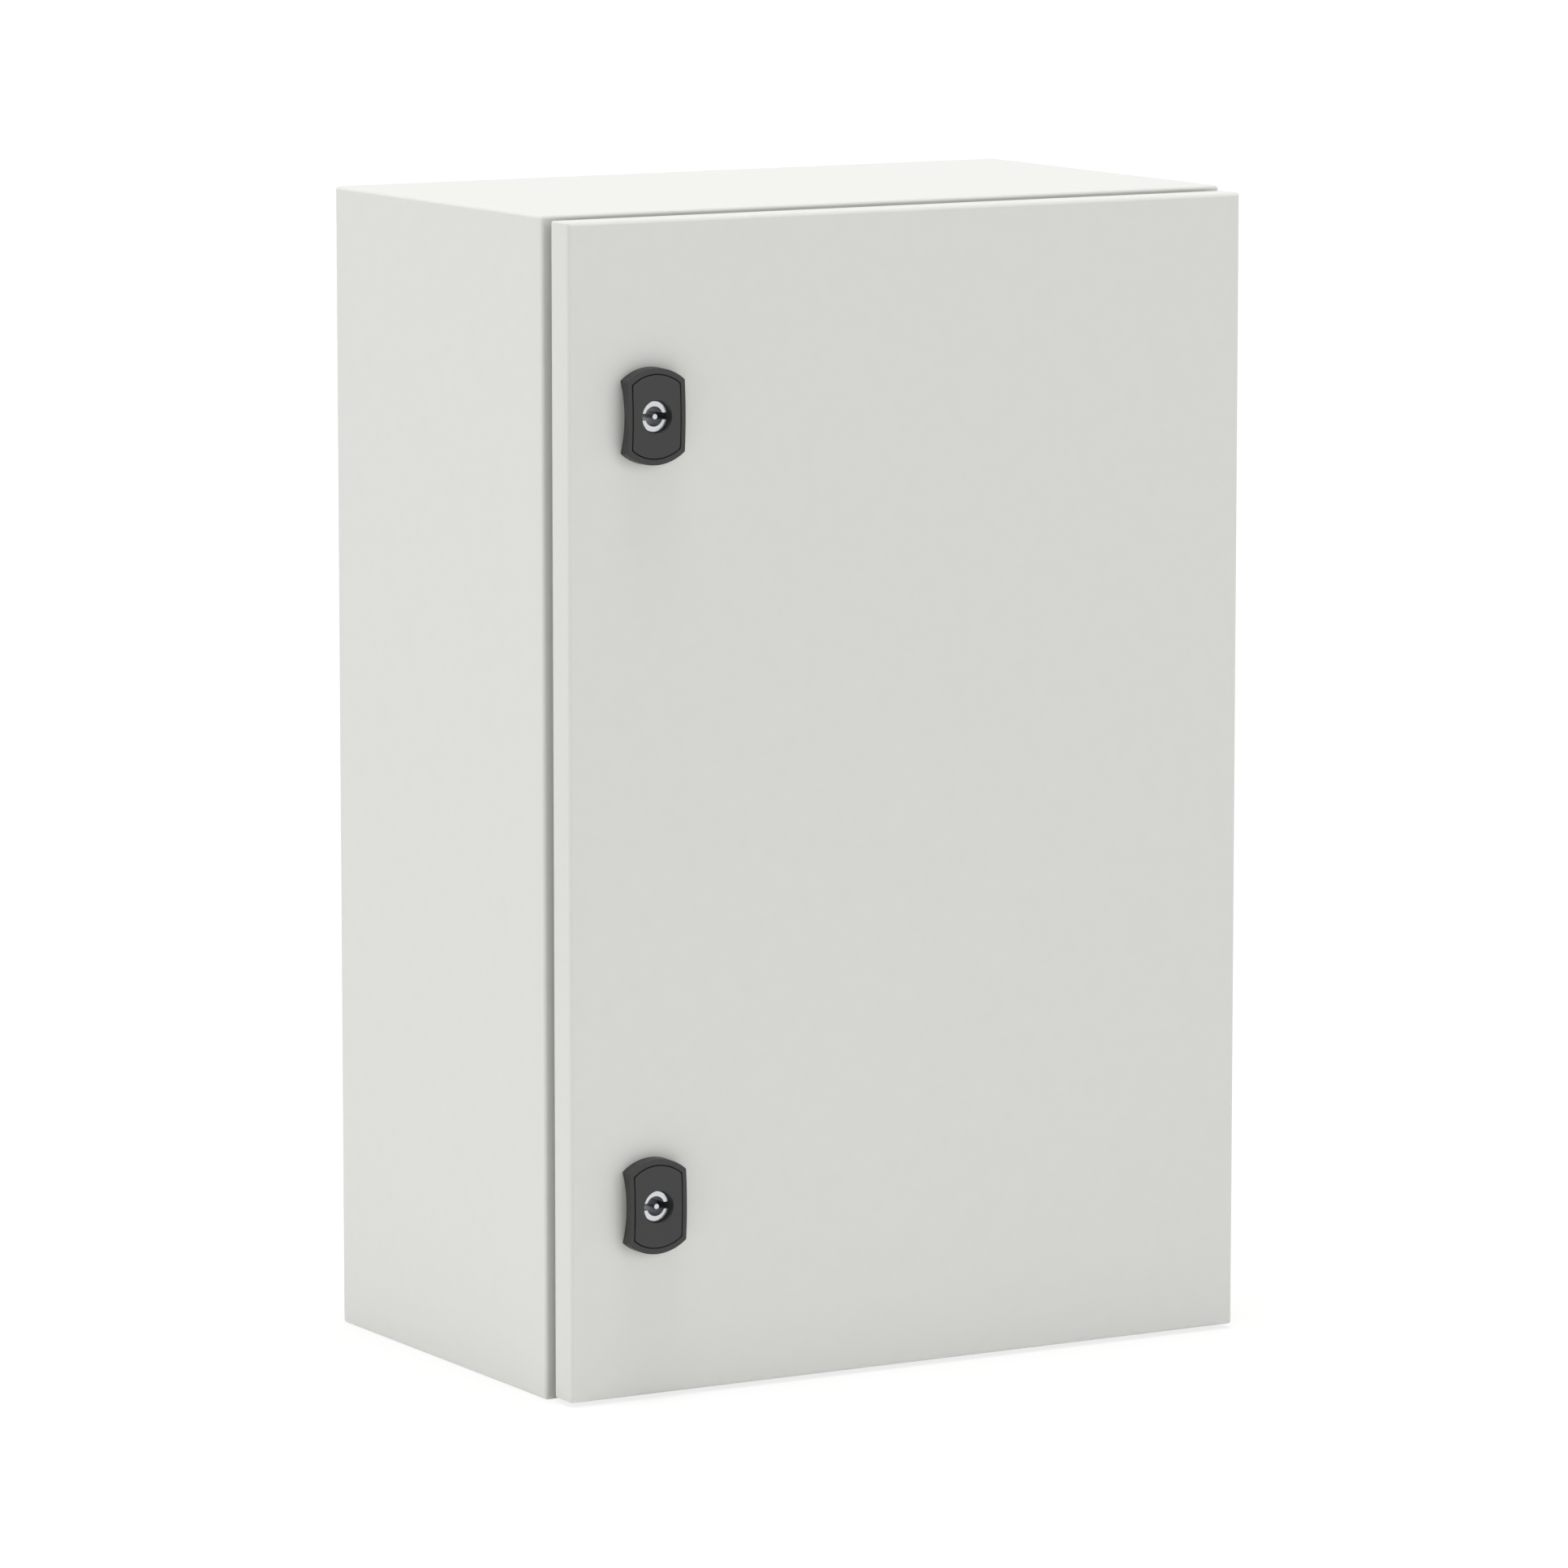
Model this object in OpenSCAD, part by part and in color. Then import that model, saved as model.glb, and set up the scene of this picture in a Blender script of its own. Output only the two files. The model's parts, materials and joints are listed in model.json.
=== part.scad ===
// Wall-mounted industrial switchboard cabinet: a welded sheet-steel body with a
// sealing neck, a single door on two concealed hinges, and two quarter-turn cam locks.
//
// X runs across the front (hinges at +X, locks at -X), Y runs back to the wall, Z is up.
// The origin is under the middle of the whole cabinet, on the plane it stands on.

/* [Body] */
// Width of the body
body_w = 400; // [320:10:600]
// Height of the body
body_h = 600; // [460:10:800]
// Depth of the body, from the wall to the face of its front flange
body_d = 223; // [160:1:300]
// Thickness of the body's sheet
body_t = 1.5; // [1.2:0.1:2]
// Outside radius of the body's bends
body_bend_r = 2.5; // [2.2:0.1:3.5]
// Width of the front flange, from the body's side to the outside of the neck
flange_w = 22; // [21:0.5:30]
// How far the sealing neck stands forward of the flange
neck_out = 14; // [13:0.5:15]
// Diameter of the wall-fixing holes
wall_hole_d = 9; // [7:0.5:12]
// Distance of the wall-fixing holes from the body's edges
wall_hole_inset = 25; // [18:1:30]

/* [Door] */
// How far the door's edge lies inside the body's edge
door_inset = 2.2; // [1.5:0.1:4]
// Shadow gap between the body's flange and the door's rim
door_gap = 5; // [4.5:0.5:6]
// Depth of the door's rim
door_d = 18.5; // [18:0.5:21]
// Thickness of the door's sheet
door_t = 1.5; // [1.2:0.1:1.8]
// Outside radius of the door's bends
door_bend_r = 2; // [2:0.1:3]
// Width of the inward return along the rear edge of the rim
door_return_w = 8; // [6:0.5:10]
// Width of the foamed gasket
gasket_w = 9; // [7:0.5:10]
// Furthest opening angle of the door
door_open_angle = 120; // [100:5:130]

/* [Hinges] */
// Distance of each hinge's middle from the body's top and bottom
hinge_inset = 90; // [80:5:120]
// Distance of the hinge axis from the door's outer side
hinge_axis_inset = 7; // [6.5:0.5:8]
// Diameter of the hinge pins
hinge_pin_d = 5; // [4:0.5:5]
// Outside radius of the knuckles
knuckle_r = 4.5; // [4.2:0.1:4.7]
// Height of the middle knuckle
mid_knuckle_h = 20; // [14:1:24]
// Height of each outer knuckle
end_knuckle_h = 14; // [10:1:16]
// Thickness of the bracket's arm
arm_t = 3; // [2.5:0.25:3]
// Thickness of the bracket's foot
foot_t = 2.5; // [2:0.25:2.5]
// Thickness of the leaf on the door
leaf_t = 2; // [1.5:0.25:2.5]

/* [Locks] */
// Distance of each lock's axis from the body's top and bottom
lock_inset = 100; // [90:5:150]
// Distance of the lock axis from the body's left side
lock_side_inset = 48; // [46:1:60]
// Radius of the lock plate's round ends
plate_r = 24.5; // [23:0.5:28]
// Width of the lock plate
plate_w = 32.8; // [32:0.2:36]
// Height of the lock plate's crown above the door
plate_crown = 8.3; // [8:0.1:10]
// Height of the lock plate at its round ends
plate_end_h = 6.7; // [6.4:0.1:7.2]
// Radius of the round ends of the cover set in the plate
cover_r = 21.4; // [19:0.2:22]
// Width of the cover set in the plate
cover_w = 27.6; // [26.8:0.2:28.4]
// Diameter of the recess in the cover, round the key insert
recess_d = 16.8; // [16.6:0.2:20]
// Diameter of the key insert
insert_d = 15.6; // [14:0.1:16]
// Diameter of the key bore
key_bore_d = 10; // [8:0.1:10.4]
// Depth of the key bore
key_bore_l = 12; // [8:0.5:14]
// Height of the slot for the key's two bits
key_slot_h = 3.3; // [2.5:0.1:4]
// Diameter of the pin in the key bore
key_pin_d = 2.8; // [2:0.1:4]
// Diameter of the threaded barrel behind the door
barrel_d = 22; // [21:0.5:23]
// Width of the barrel across its two flats
barrel_flats = 19.8; // [19:0.1:20.4]
// Length of the cam, from the lock axis to its tip
cam_reach = 36; // [34:1:38]
// Width of the cam
cam_w = 18; // [16:1:20]
// Thickness of the cam
cam_t = 3; // [2:0.25:4]

/* [Inside] */
// Gap between the rear panel and the mounting plate
plate_standoff = 12; // [8:1:20]
// Thickness of the mounting plate
mount_plate_t = 2.5; // [2:0.5:4]
// Margin between the mounting plate's edge and the body's outside
mount_plate_margin = 27.5; // [26:0.5:35]
// Distance of the mounting plate's holes from its edges
mount_hole_inset = 15; // [14:1:20]
// Width of the cable opening in the body's floor
gland_open_w = 240; // [160:10:240]
// Depth of the cable opening in the body's floor
gland_open_d = 80; // [60:5:80]
// How far the gland plate overlaps the floor round the opening
gland_lap = 18; // [16:1:20]
// Thickness of the gland plate
gland_plate_t = 2; // [1.5:0.5:3]
// Thickness of the gland plate's gasket
gland_gasket_t = 3; // [2:0.5:4]
// Width of the stiffening rails on the door
rail_w = 25; // [20:1:30]
// Depth of the stiffening rails' legs
rail_d = 11.5; // [8:0.5:11.5]
// Distance from the door's edge to the middle of each rail
rail_inset = 78; // [76:1:90]
// Spacing of the holes along the rails
rail_pitch = 25; // [20:5:50]

/* [Hidden] */

$fn = 96;
paint = "#D3D4CF";
galvanised = "#A9ADB0";
zinc = "#C9CCCE";
dark_plastic = "#3E3F40";
rubber = "#1E1F20";
foam = "#2A2B2C";

// Clearances
seat_gap = 0.3;         // between pieces that face each other without touching
run_gap = 0.05;         // radial, for a pin or a shaft that turns in a hole
screw_gap = 0.4;        // radial, for a screw or a stud through a plain hole
washer_gap = 0.2;       // radial, between a washer and its stud
flats_gap = 0.15;       // round a lock's barrel in the pieces that lie on the door, and at its flats
barrel_gap = 0.25;      // round a lock's barrel in the door's sheet
cut = 1;                // how far a cutting shape runs past the face it cuts
mitre_past = 10;        // how far a mitred corner reaches past the sheet's profile

// Fasteners: size of each nut, washer and head, and the bare end of each stud past its nut
washer_t = 1.6;
thin_washer_t = 1;
m4_nut_af = 7;
m4_nut_t = 3.2;
m5_nut_af = 8;
m5_nut_t = 4;
m5_washer_r = 5;
m6_nut_af = 10;
m6_nut_t = 5;
m6_washer_r = 6;
m8_nut_af = 13;
m8_nut_t = 6.5;
m8_washer_r = 8;
mount_stud_free = 7.4;
gland_stud_free = 4;
leaf_stud_free = 3.8;
rail_stud_free = 3;
earth_stud_free = 6;
pan_head_r = 4.5;
pan_head_h = 3;
socket_r = 1.7;         // hexagon socket in a pan head
socket_l = 1.6;
screw_short = 0.2;      // how far a screw's tip stays back from the face it is driven to

// Places along Y, measured from the face of the flange
total_d = body_d + door_gap + door_d + plate_crown;
flange_y = total_d / 2 - body_d;
door_front = -(door_gap + door_d);
door_inner = door_front + door_t;
rim_rear = -door_gap;
neck_tip = -neck_out;
gasket_rear = neck_tip - seat_gap;
rear_inner = body_d - body_t;

// Door outline
door_w = body_w - 2 * door_inset;
door_h = body_h - 2 * door_inset;
door_side = door_w / 2;
rim_inner = door_side - door_t;

// Neck and gasket
neck_side = body_w / 2 - flange_w;
gasket_mid = neck_side - body_t / 2;
gasket_side = gasket_mid + gasket_w / 2;
gasket_corner_r = 8;
gasket_top_margin = flange_w + body_t / 2;

// Hinge: the axis lies as far forward as the rim's front corner needs to swing clear of the flange
swing_clear = 1.7;
axis_ahead = (hinge_axis_inset * sin(door_open_angle) - door_d * cos(door_open_angle)
              - door_gap + swing_clear) / (1 - cos(door_open_angle));
axis_x = door_side - hinge_axis_inset;
axis_y = rim_rear - axis_ahead;
hinge_zs = [hinge_inset, body_h - hinge_inset];
foot_past = 1;          // foot of the bracket, past the knuckles at each end
foot_neck_gap = 1.2;    // between the foot and the neck
foot_past_axis = 2.2;
foot_h = mid_knuckle_h + 2 * (end_knuckle_h + foot_past);
foot_x0 = neck_side + foot_neck_gap;
foot_x1 = axis_x + foot_past_axis;
arm_neck_gap = 1.5;     // between the arm and the neck
arm_root_w = 4;         // the part of the arm that stands on the foot
arm_gasket_gap = 0.8;   // between the arm and the gasket
arm_x0 = neck_side + arm_neck_gap;
arm_front = gasket_rear + arm_gasket_gap;
arm_rear = arm_front + arm_t;
arm_clear = 1.5;        // between the arm and the rim's return when the door is wide open
notch_y = axis_y + (rim_inner - axis_x) * sin(door_open_angle) / -cos(door_open_angle)
          - (arm_rear - axis_y + arm_clear) / -cos(door_open_angle);
notch_past = 1;         // notch in the rim's return, past the foot at each end
notch_h = foot_h + 2 * notch_past;
screw_from_axis = 2.3;
hinge_screw_x = axis_x - screw_from_axis;
foot_screw_inset = 7;
foot_screw_z = foot_h / 2 - foot_screw_inset;
foot_screw_d = 5;
pin_head_past = 1;
pin_head_r = hinge_pin_d / 2 + pin_head_past;
pin_head_h = 1.5;
leaf_side_gap = 0.5;    // between the leaf and the gasket or the rim
leaf_past = 12;         // leaf past the knuckles at each end
leaf_x0 = gasket_side + leaf_side_gap;
leaf_x1 = rim_inner - leaf_side_gap;
leaf_h = mid_knuckle_h + 2 * (end_knuckle_h + leaf_past);
leaf_stud_inset = 6;
leaf_stud_z = leaf_h / 2 - leaf_stud_inset;
leaf_stud_d = 4;
leaf_stud_l = leaf_t + m4_nut_t + leaf_stud_free;

// Locks
lock_x = -(body_w / 2 - lock_side_inset);
lock_zs = [lock_inset, body_h - lock_inset];
crown_r = (pow(plate_r, 2) + pow(plate_crown - plate_end_h, 2)) / (2 * (plate_crown - plate_end_h));
scoop = 2.3;            // depth of the hollow in each side of the lock plate, at the door
scoop_r = 73;           // its radius at the door
seal_t = 1.2;
seal_w = 3;
plate_floor = 3.4;      // thickness of the plate under the cover
head_t = 1.5;           // head of the lock housing
head_lap = 1.6;         // how far the head reaches past the barrel
head_r = barrel_d / 2 + head_lap;
cover_gap = 0.4;        // all round the cover, the joint line that shows
cover_lift = 0.1;       // between the housing's head and the cover
insert_front = plate_floor + head_t;
insert_floor = 3;       // metal behind the key bore
insert_l = key_bore_l + insert_floor;
shaft_r = 6;
pin_proud = 1;          // key pin's tip ahead of the insert's ring
cam_neck_gap = 0.7;     // between the cam and the back of the flange
cam_front = body_t + cam_neck_gap;
cam_rear = cam_front + cam_t;
barrel_rear = cam_front - seat_gap;
square = 8;
square_gap = 0.05;
square_short = 0.2;     // how far the square stops short of the cam's back
cam_screw_d = 6;
cam_screw_l = 12;
cam_screw_room = 1;     // empty thread ahead of the screw's tip
cam_screw_af = 10;
cam_screw_head = 4;
cam_washer_r = 9;
lock_nut_af = 27;
lock_nut_t = 5;

// Inside
rear_hole_x = body_w / 2 - wall_hole_inset;
rear_hole_zs = [wall_hole_inset, body_h - wall_hole_inset];
mount_w = body_w - 2 * mount_plate_margin;
mount_h = body_h - 2 * mount_plate_margin;
mount_rear = rear_inner - plate_standoff;
mount_front = mount_rear - mount_plate_t;
mount_hole_x = mount_w / 2 - mount_hole_inset;
mount_hole_zs = [mount_plate_margin + mount_hole_inset, body_h - mount_plate_margin - mount_hole_inset];
mount_corner_r = 5;
mount_stud_d = 8;
mount_stud_l = plate_standoff + mount_plate_t + washer_t + m8_nut_t + mount_stud_free;
spacer_r = 7;
gland_mid_y = (cam_rear + mount_front) / 2;
gland_w = gland_open_w + 2 * gland_lap;
gland_d = gland_open_d + 2 * gland_lap;
gland_corner_r = 6;
gland_stud_d = 5;
gland_stud_l = gland_gasket_t + gland_plate_t + thin_washer_t + m5_nut_t + gland_stud_free;
gland_stud_inset = gland_lap / 2;
gland_xs = [-(gland_w / 2 - gland_stud_inset), 0, gland_w / 2 - gland_stud_inset];
gland_ys = [gland_mid_y - gland_d / 2 + gland_stud_inset, gland_mid_y + gland_d / 2 - gland_stud_inset];
gland_top = body_t + gland_gasket_t + gland_plate_t;
rail_t = 1.5;
rail_mid = door_side - rail_inset;
rail_end = 48;          // from the door's top and bottom edges to the rail's ends
rail_l = door_h - 2 * rail_end;
rail_holes = floor((rail_l - rail_pitch) / rail_pitch);
rail_hole_d = 5;
rail_stud_inset = 12.5; // from the rail's ends to its studs
rail_stud_zs = [door_inset + rail_end + rail_stud_inset, body_h - door_inset - rail_end - rail_stud_inset];
rail_stud_d = 5;
rail_stud_l = rail_t + m5_nut_t + rail_stud_free;
earth_d = 6;
earth_stack = washer_t + m6_nut_t;
body_earth_y = 35;
body_earth_z = 55;
door_earth_inset = 18;  // from the gasket
door_earth_x = gasket_mid - gasket_w / 2 - door_earth_inset;
door_earth_z = 50;

// ---------- shapes that repeat ----------

// Moves a shape from the flange's own measure to its place in the cabinet
module at_flange() translate([0, flange_y, 0]) children();

// A shape drawn on the floor plan of a lock or a stud: its local Z points out of the front
module facing_front(x, y, z) translate([x, y, z]) rotate([90, 0, 0]) children();

// A shape whose local Z points to the wall
module facing_wall(x, y, z) translate([x, y, z]) rotate([-90, 0, 0]) children();

// Rectangle with round corners, centred
module rounded_rect(w, h, r) {
    square([w - 2 * r, h], center = true);
    square([w, h - 2 * r], center = true);
    for (sx = [-1, 1], sy = [-1, 1]) translate([sx * (w / 2 - r), sy * (h / 2 - r)]) circle(r);
}

// A quarter of a bend in sheet, in the quadrant of side_x and side_y round its centre
module bend(r_out, t, side_x, side_y) {
    intersection() {
        difference() {
            circle(r_out);
            circle(r_out - t);
        }
        translate([side_x < 0 ? -r_out : 0, side_y < 0 ? -r_out : 0]) square(r_out);
    }
}

// Runs a sheet profile round the four sides of a w by h frame and mitres its corners.
// In the profile, x is the distance inward from the edge and y is the depth.
module mitred_frame(w, h, reach) {
    past = 5;
    y_far = body_d + past;
    depth = body_d + door_gap + door_d + 2 * past;
    module wedge(points) translate([0, y_far, 0]) rotate([90, 0, 0]) linear_extrude(depth) polygon(points);
    for (side = [0, 1]) mirror([side, 0, 0]) intersection() {
        translate([-w / 2, 0, -past]) linear_extrude(h + 2 * past) children();
        wedge([[-w / 2 - past, -past], [-w / 2 + reach, reach],
               [-w / 2 + reach, h - reach], [-w / 2 - past, h + past]]);
    }
    for (side = [0, 1]) translate([0, 0, side * h]) mirror([0, 0, side]) intersection() {
        translate([w / 2 + past, 0, 0]) rotate([0, -90, 0]) linear_extrude(w + 2 * past) children();
        wedge([[-w / 2 - past, -past], [-w / 2 + reach, reach],
               [w / 2 - reach, reach], [w / 2 + past, -past]]);
    }
}

// Cuts the four edges of a w by h frame that run front to back to a radius
module round_long_edges(w, h, r, y0, y1) {
    difference() {
        children();
        for (sx = [-1, 1], top = [0, 1])
            translate([sx * w / 2, y0 - cut, top * h]) mirror([0, 0, top]) mirror([sx < 0 ? 0 : 1, 0, 0])
                difference() {
                    translate([-cut, 0, -cut]) cube([r + cut, y1 - y0 + 2 * cut, r + cut]);
                    translate([r, -cut, r]) rotate([-90, 0, 0]) cylinder(h = y1 - y0 + 4 * cut, r = r);
                }
    }
}

// Plain round rod with a chamfered free end
module rod(d, l) {
    tip = 0.6;
    rotate_extrude() polygon([[0, 0], [d / 2, 0], [d / 2, l - tip], [d / 2 - tip, l], [0, l]]);
}

// Hexagon nut or bolt head with chamfered corners, standing on its lower face
module hexagon(af, h) {
    corner = af / cos(30) / 2;
    drop = (corner - af / 2) * tan(30);
    intersection() {
        cylinder(h = h, r = corner, $fn = 6);
        rotate_extrude() polygon([[0, 0], [af / 2, 0], [corner + 0.01, drop], [corner + 0.01, h - drop],
                                  [af / 2, h], [0, h]]);
    }
}

module hex_nut(af, h, bore_d) {
    difference() {
        hexagon(af, h);
        translate([0, 0, -cut]) cylinder(h = h + 2 * cut, d = bore_d);
    }
}

module washer(r_out, bore_d, t) {
    difference() {
        cylinder(h = t, r = r_out);
        translate([0, 0, -cut]) cylinder(h = t + 2 * cut, d = bore_d);
    }
}

// ---------- body ----------

// Section through the body's sheet: side wall, bend, flange, bend, neck
module body_profile() {
    inner_r = body_bend_r - body_t;
    translate([0, body_bend_r]) square([body_t, body_d - body_bend_r]);
    translate([body_bend_r, body_bend_r]) bend(body_bend_r, body_t, -1, -1);
    translate([body_bend_r, 0]) square([flange_w - inner_r - body_bend_r, body_t]);
    translate([flange_w - inner_r, -inner_r]) bend(body_bend_r, body_t, 1, 1);
    translate([flange_w, neck_tip]) square([body_t, neck_out - inner_r]);
}

module gland_opening() {
    translate([0, gland_mid_y, -cut]) linear_extrude(body_t + 2 * cut)
        rounded_rect(gland_open_w, gland_open_d, gland_corner_r);
}

module body_wrap() color(paint) at_flange() difference() {
    round_long_edges(body_w, body_h, body_bend_r, 0, body_d)
        mitred_frame(body_w, body_h, flange_w + mitre_past) body_profile();
    gland_opening();
    for (hz = hinge_zs, dz = [-1, 1])
        facing_wall(hinge_screw_x, -cut, hz + dz * foot_screw_z)
            cylinder(h = body_t + 2 * cut, d = foot_screw_d + 2 * screw_gap);
}

module rear_panel() color(paint) at_flange() difference() {
    translate([-body_w / 2 + body_t, rear_inner, body_t])
        cube([body_w - 2 * body_t, body_t, body_h - 2 * body_t]);
    for (sx = [-1, 1], z = rear_hole_zs)
        facing_wall(sx * rear_hole_x, rear_inner - cut, z) cylinder(h = body_t + 2 * cut, d = wall_hole_d);
}

module mounting_plate() color(galvanised) at_flange() difference() {
    translate([0, mount_rear, body_h / 2]) rotate([90, 0, 0]) linear_extrude(mount_plate_t)
        rounded_rect(mount_w, mount_h, mount_corner_r);
    for (sx = [-1, 1], z = mount_hole_zs)
        facing_front(sx * mount_hole_x, mount_rear + cut, z)
            cylinder(h = mount_plate_t + 2 * cut, d = mount_stud_d + 2 * screw_gap);
}

// One of a shape at each corner stud of the mounting plate, standing on the plane y
module at_mount_studs(y) at_flange()
    for (sx = [-1, 1], z = mount_hole_zs) facing_front(sx * mount_hole_x, y, z) children();

module plate_studs() color(zinc) at_mount_studs(rear_inner) rod(mount_stud_d, mount_stud_l);
module plate_spacers() color(zinc) at_mount_studs(rear_inner)
    washer(spacer_r, mount_stud_d + 2 * screw_gap, plate_standoff);
module plate_washers() color(zinc) at_mount_studs(mount_front)
    washer(m8_washer_r, mount_stud_d + 2 * washer_gap, washer_t);
module plate_nuts() color(zinc) at_mount_studs(mount_front - washer_t)
    hex_nut(m8_nut_af, m8_nut_t, mount_stud_d);

// One of a shape at each stud of the gland plate, standing on the plane z
module at_gland_studs(z) at_flange()
    for (x = gland_xs, y = gland_ys) translate([x, y, z]) children();

module gland_stud_holes(z, h) {
    for (x = gland_xs, y = gland_ys)
        translate([x, y, z - cut]) cylinder(h = h + 2 * cut, d = gland_stud_d + 2 * screw_gap);
}

module gland_plate() color(galvanised) at_flange() difference() {
    translate([0, gland_mid_y, body_t + gland_gasket_t]) linear_extrude(gland_plate_t)
        rounded_rect(gland_w, gland_d, gland_corner_r);
    gland_stud_holes(body_t + gland_gasket_t, gland_plate_t);
}

module gland_gasket() color(rubber) at_flange() difference() {
    translate([0, gland_mid_y, body_t]) linear_extrude(gland_gasket_t) difference() {
        rounded_rect(gland_w, gland_d, gland_corner_r);
        rounded_rect(gland_open_w, gland_open_d, gland_corner_r);
    }
    gland_stud_holes(body_t, gland_gasket_t);
}

module gland_studs() color(zinc) at_gland_studs(body_t) rod(gland_stud_d, gland_stud_l);
module gland_washers() color(zinc) at_gland_studs(gland_top)
    washer(m5_washer_r, gland_stud_d + 2 * washer_gap, thin_washer_t);
module gland_nuts() color(zinc) at_gland_studs(gland_top + thin_washer_t)
    hex_nut(m5_nut_af, m5_nut_t, gland_stud_d);

// Earth studs stand along local Z and carry a stack of washer and nut, once or twice over
module earth_washers(count)
    for (i = [0 : count - 1]) translate([0, 0, i * earth_stack])
        washer(m6_washer_r, earth_d + 2 * washer_gap, washer_t);
module earth_nuts(count)
    for (i = [0 : count - 1]) translate([0, 0, i * earth_stack + washer_t])
        hex_nut(m6_nut_af, m6_nut_t, earth_d);

module at_body_earth() at_flange()
    translate([body_w / 2 - body_t, body_earth_y, body_earth_z]) rotate([0, -90, 0]) children();

module body_earth_stud() color(zinc) at_body_earth() rod(earth_d, 2 * earth_stack + earth_stud_free);
module body_earth_washers() color(zinc) at_body_earth() earth_washers(2);
module body_earth_nuts() color(zinc) at_body_earth() earth_nuts(2);

// ---------- hinges ----------

// Moves a shape to a hinge's axis, at the middle of the hinge
module at_hinge(z) at_flange() translate([0, 0, z]) children();

module hinge_bracket(z) color(zinc) at_hinge(z) difference() {
    union() {
        translate([foot_x0, -foot_t, -foot_h / 2]) cube([foot_x1 - foot_x0, foot_t, foot_h]);
        translate([arm_x0, arm_front, -mid_knuckle_h / 2]) cube([arm_root_w, -arm_front, mid_knuckle_h]);
        translate([arm_x0, arm_front, -mid_knuckle_h / 2]) cube([axis_x - arm_x0, arm_t, mid_knuckle_h]);
        translate([axis_x, axis_y, -mid_knuckle_h / 2]) cylinder(h = mid_knuckle_h, r = knuckle_r);
    }
    translate([axis_x, axis_y, -foot_h]) cylinder(h = 2 * foot_h, d = hinge_pin_d);
    for (dz = [-1, 1])
        facing_wall(hinge_screw_x, -foot_t - cut, dz * foot_screw_z)
            cylinder(h = foot_t + 2 * cut, d = foot_screw_d);
}

// Pan-head screws put in from inside the body, through the flange into the brackets' feet
module bracket_screws() color(zinc) for (hz = hinge_zs, dz = [-1, 1])
    at_hinge(hz) facing_front(hinge_screw_x, body_t, dz * foot_screw_z) {
        rod(foot_screw_d, body_t + foot_t - screw_short);
        translate([0, 0, -pan_head_h]) difference() {
            cylinder(h = pan_head_h, r = pan_head_r);
            translate([0, 0, -cut]) cylinder(h = socket_l + cut, r = socket_r, $fn = 6);
        }
    }

module hinge_pin(z) color(zinc) at_hinge(z) translate([axis_x, axis_y, 0]) {
    reach = mid_knuckle_h / 2 + seat_gap + end_knuckle_h;
    translate([0, 0, -reach]) cylinder(h = 2 * reach + seat_gap, d = hinge_pin_d);
    translate([0, 0, reach + seat_gap]) cylinder(h = pin_head_h, r = pin_head_r);
}

module hinge_leaf(z) color(zinc) at_hinge(z) difference() {
    union() {
        translate([leaf_x0, door_inner, -leaf_h / 2]) cube([leaf_x1 - leaf_x0, leaf_t, leaf_h]);
        for (up = [0, 1]) mirror([0, 0, up]) translate([0, 0, mid_knuckle_h / 2 + seat_gap]) {
            translate([axis_x - knuckle_r, door_inner, 0])
                cube([2 * knuckle_r, axis_y - door_inner, end_knuckle_h]);
            translate([axis_x, axis_y, 0]) cylinder(h = end_knuckle_h, r = knuckle_r);
        }
    }
    translate([axis_x, axis_y, -leaf_h]) cylinder(h = 2 * leaf_h, d = hinge_pin_d + 2 * run_gap);
    for (dz = [-1, 1])
        facing_wall(hinge_screw_x, door_inner - cut, dz * leaf_stud_z)
            cylinder(h = leaf_t + 2 * cut, d = leaf_stud_d + 2 * screw_gap);
}

// One of a shape at each stud of both leaves, standing on the plane y of the door
module at_leaf_studs(y) for (hz = hinge_zs, dz = [-1, 1])
    at_hinge(hz) facing_wall(hinge_screw_x, y, dz * leaf_stud_z) children();

module leaf_studs() color(zinc) at_leaf_studs(door_inner) rod(leaf_stud_d, leaf_stud_l);
module leaf_nuts() color(zinc) at_leaf_studs(door_inner + leaf_t) hex_nut(m4_nut_af, m4_nut_t, leaf_stud_d);

// ---------- door ----------

// Section through the door's edge: front bend, rim, rear bend, return
module door_profile() {
    translate([door_bend_r, door_front + door_bend_r]) bend(door_bend_r, door_t, -1, -1);
    translate([0, door_front + door_bend_r]) square([door_t, door_d - 2 * door_bend_r]);
    translate([door_bend_r, rim_rear - door_bend_r]) bend(door_bend_r, door_t, -1, 1);
    translate([door_bend_r, rim_rear - door_t]) square([door_return_w - door_bend_r, door_t]);
}

// Round hole with two flats, which stops the lock's barrel from turning
module barrel_section(d, flats) intersection() {
    circle(d = d);
    square([flats, 2 * d], center = true);
}

module door_panel() color(paint) at_flange() difference() {
    round_long_edges_at_door() union() {
        translate([0, 0, door_inset]) mitred_frame(door_w, door_h, door_return_w + mitre_past) door_profile();
        translate([-door_side + door_bend_r, door_front, door_inset + door_bend_r])
            cube([door_w - 2 * door_bend_r, door_t, door_h - 2 * door_bend_r]);
    }
    for (z = lock_zs)
        facing_front(lock_x, door_inner + cut, z) linear_extrude(door_t + 2 * cut)
            barrel_section(barrel_d + 2 * barrel_gap, barrel_flats + 2 * flats_gap);
    for (z = hinge_zs)
        translate([door_side - door_return_w - cut, notch_y, z - notch_h / 2])
            cube([door_return_w + 2 * cut, rim_rear - notch_y + cut, notch_h]);
}

module round_long_edges_at_door() {
    translate([0, 0, door_inset])
        round_long_edges(door_w, door_h, door_bend_r / 2, door_front, rim_rear)
            translate([0, 0, -door_inset]) children();
}

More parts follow.
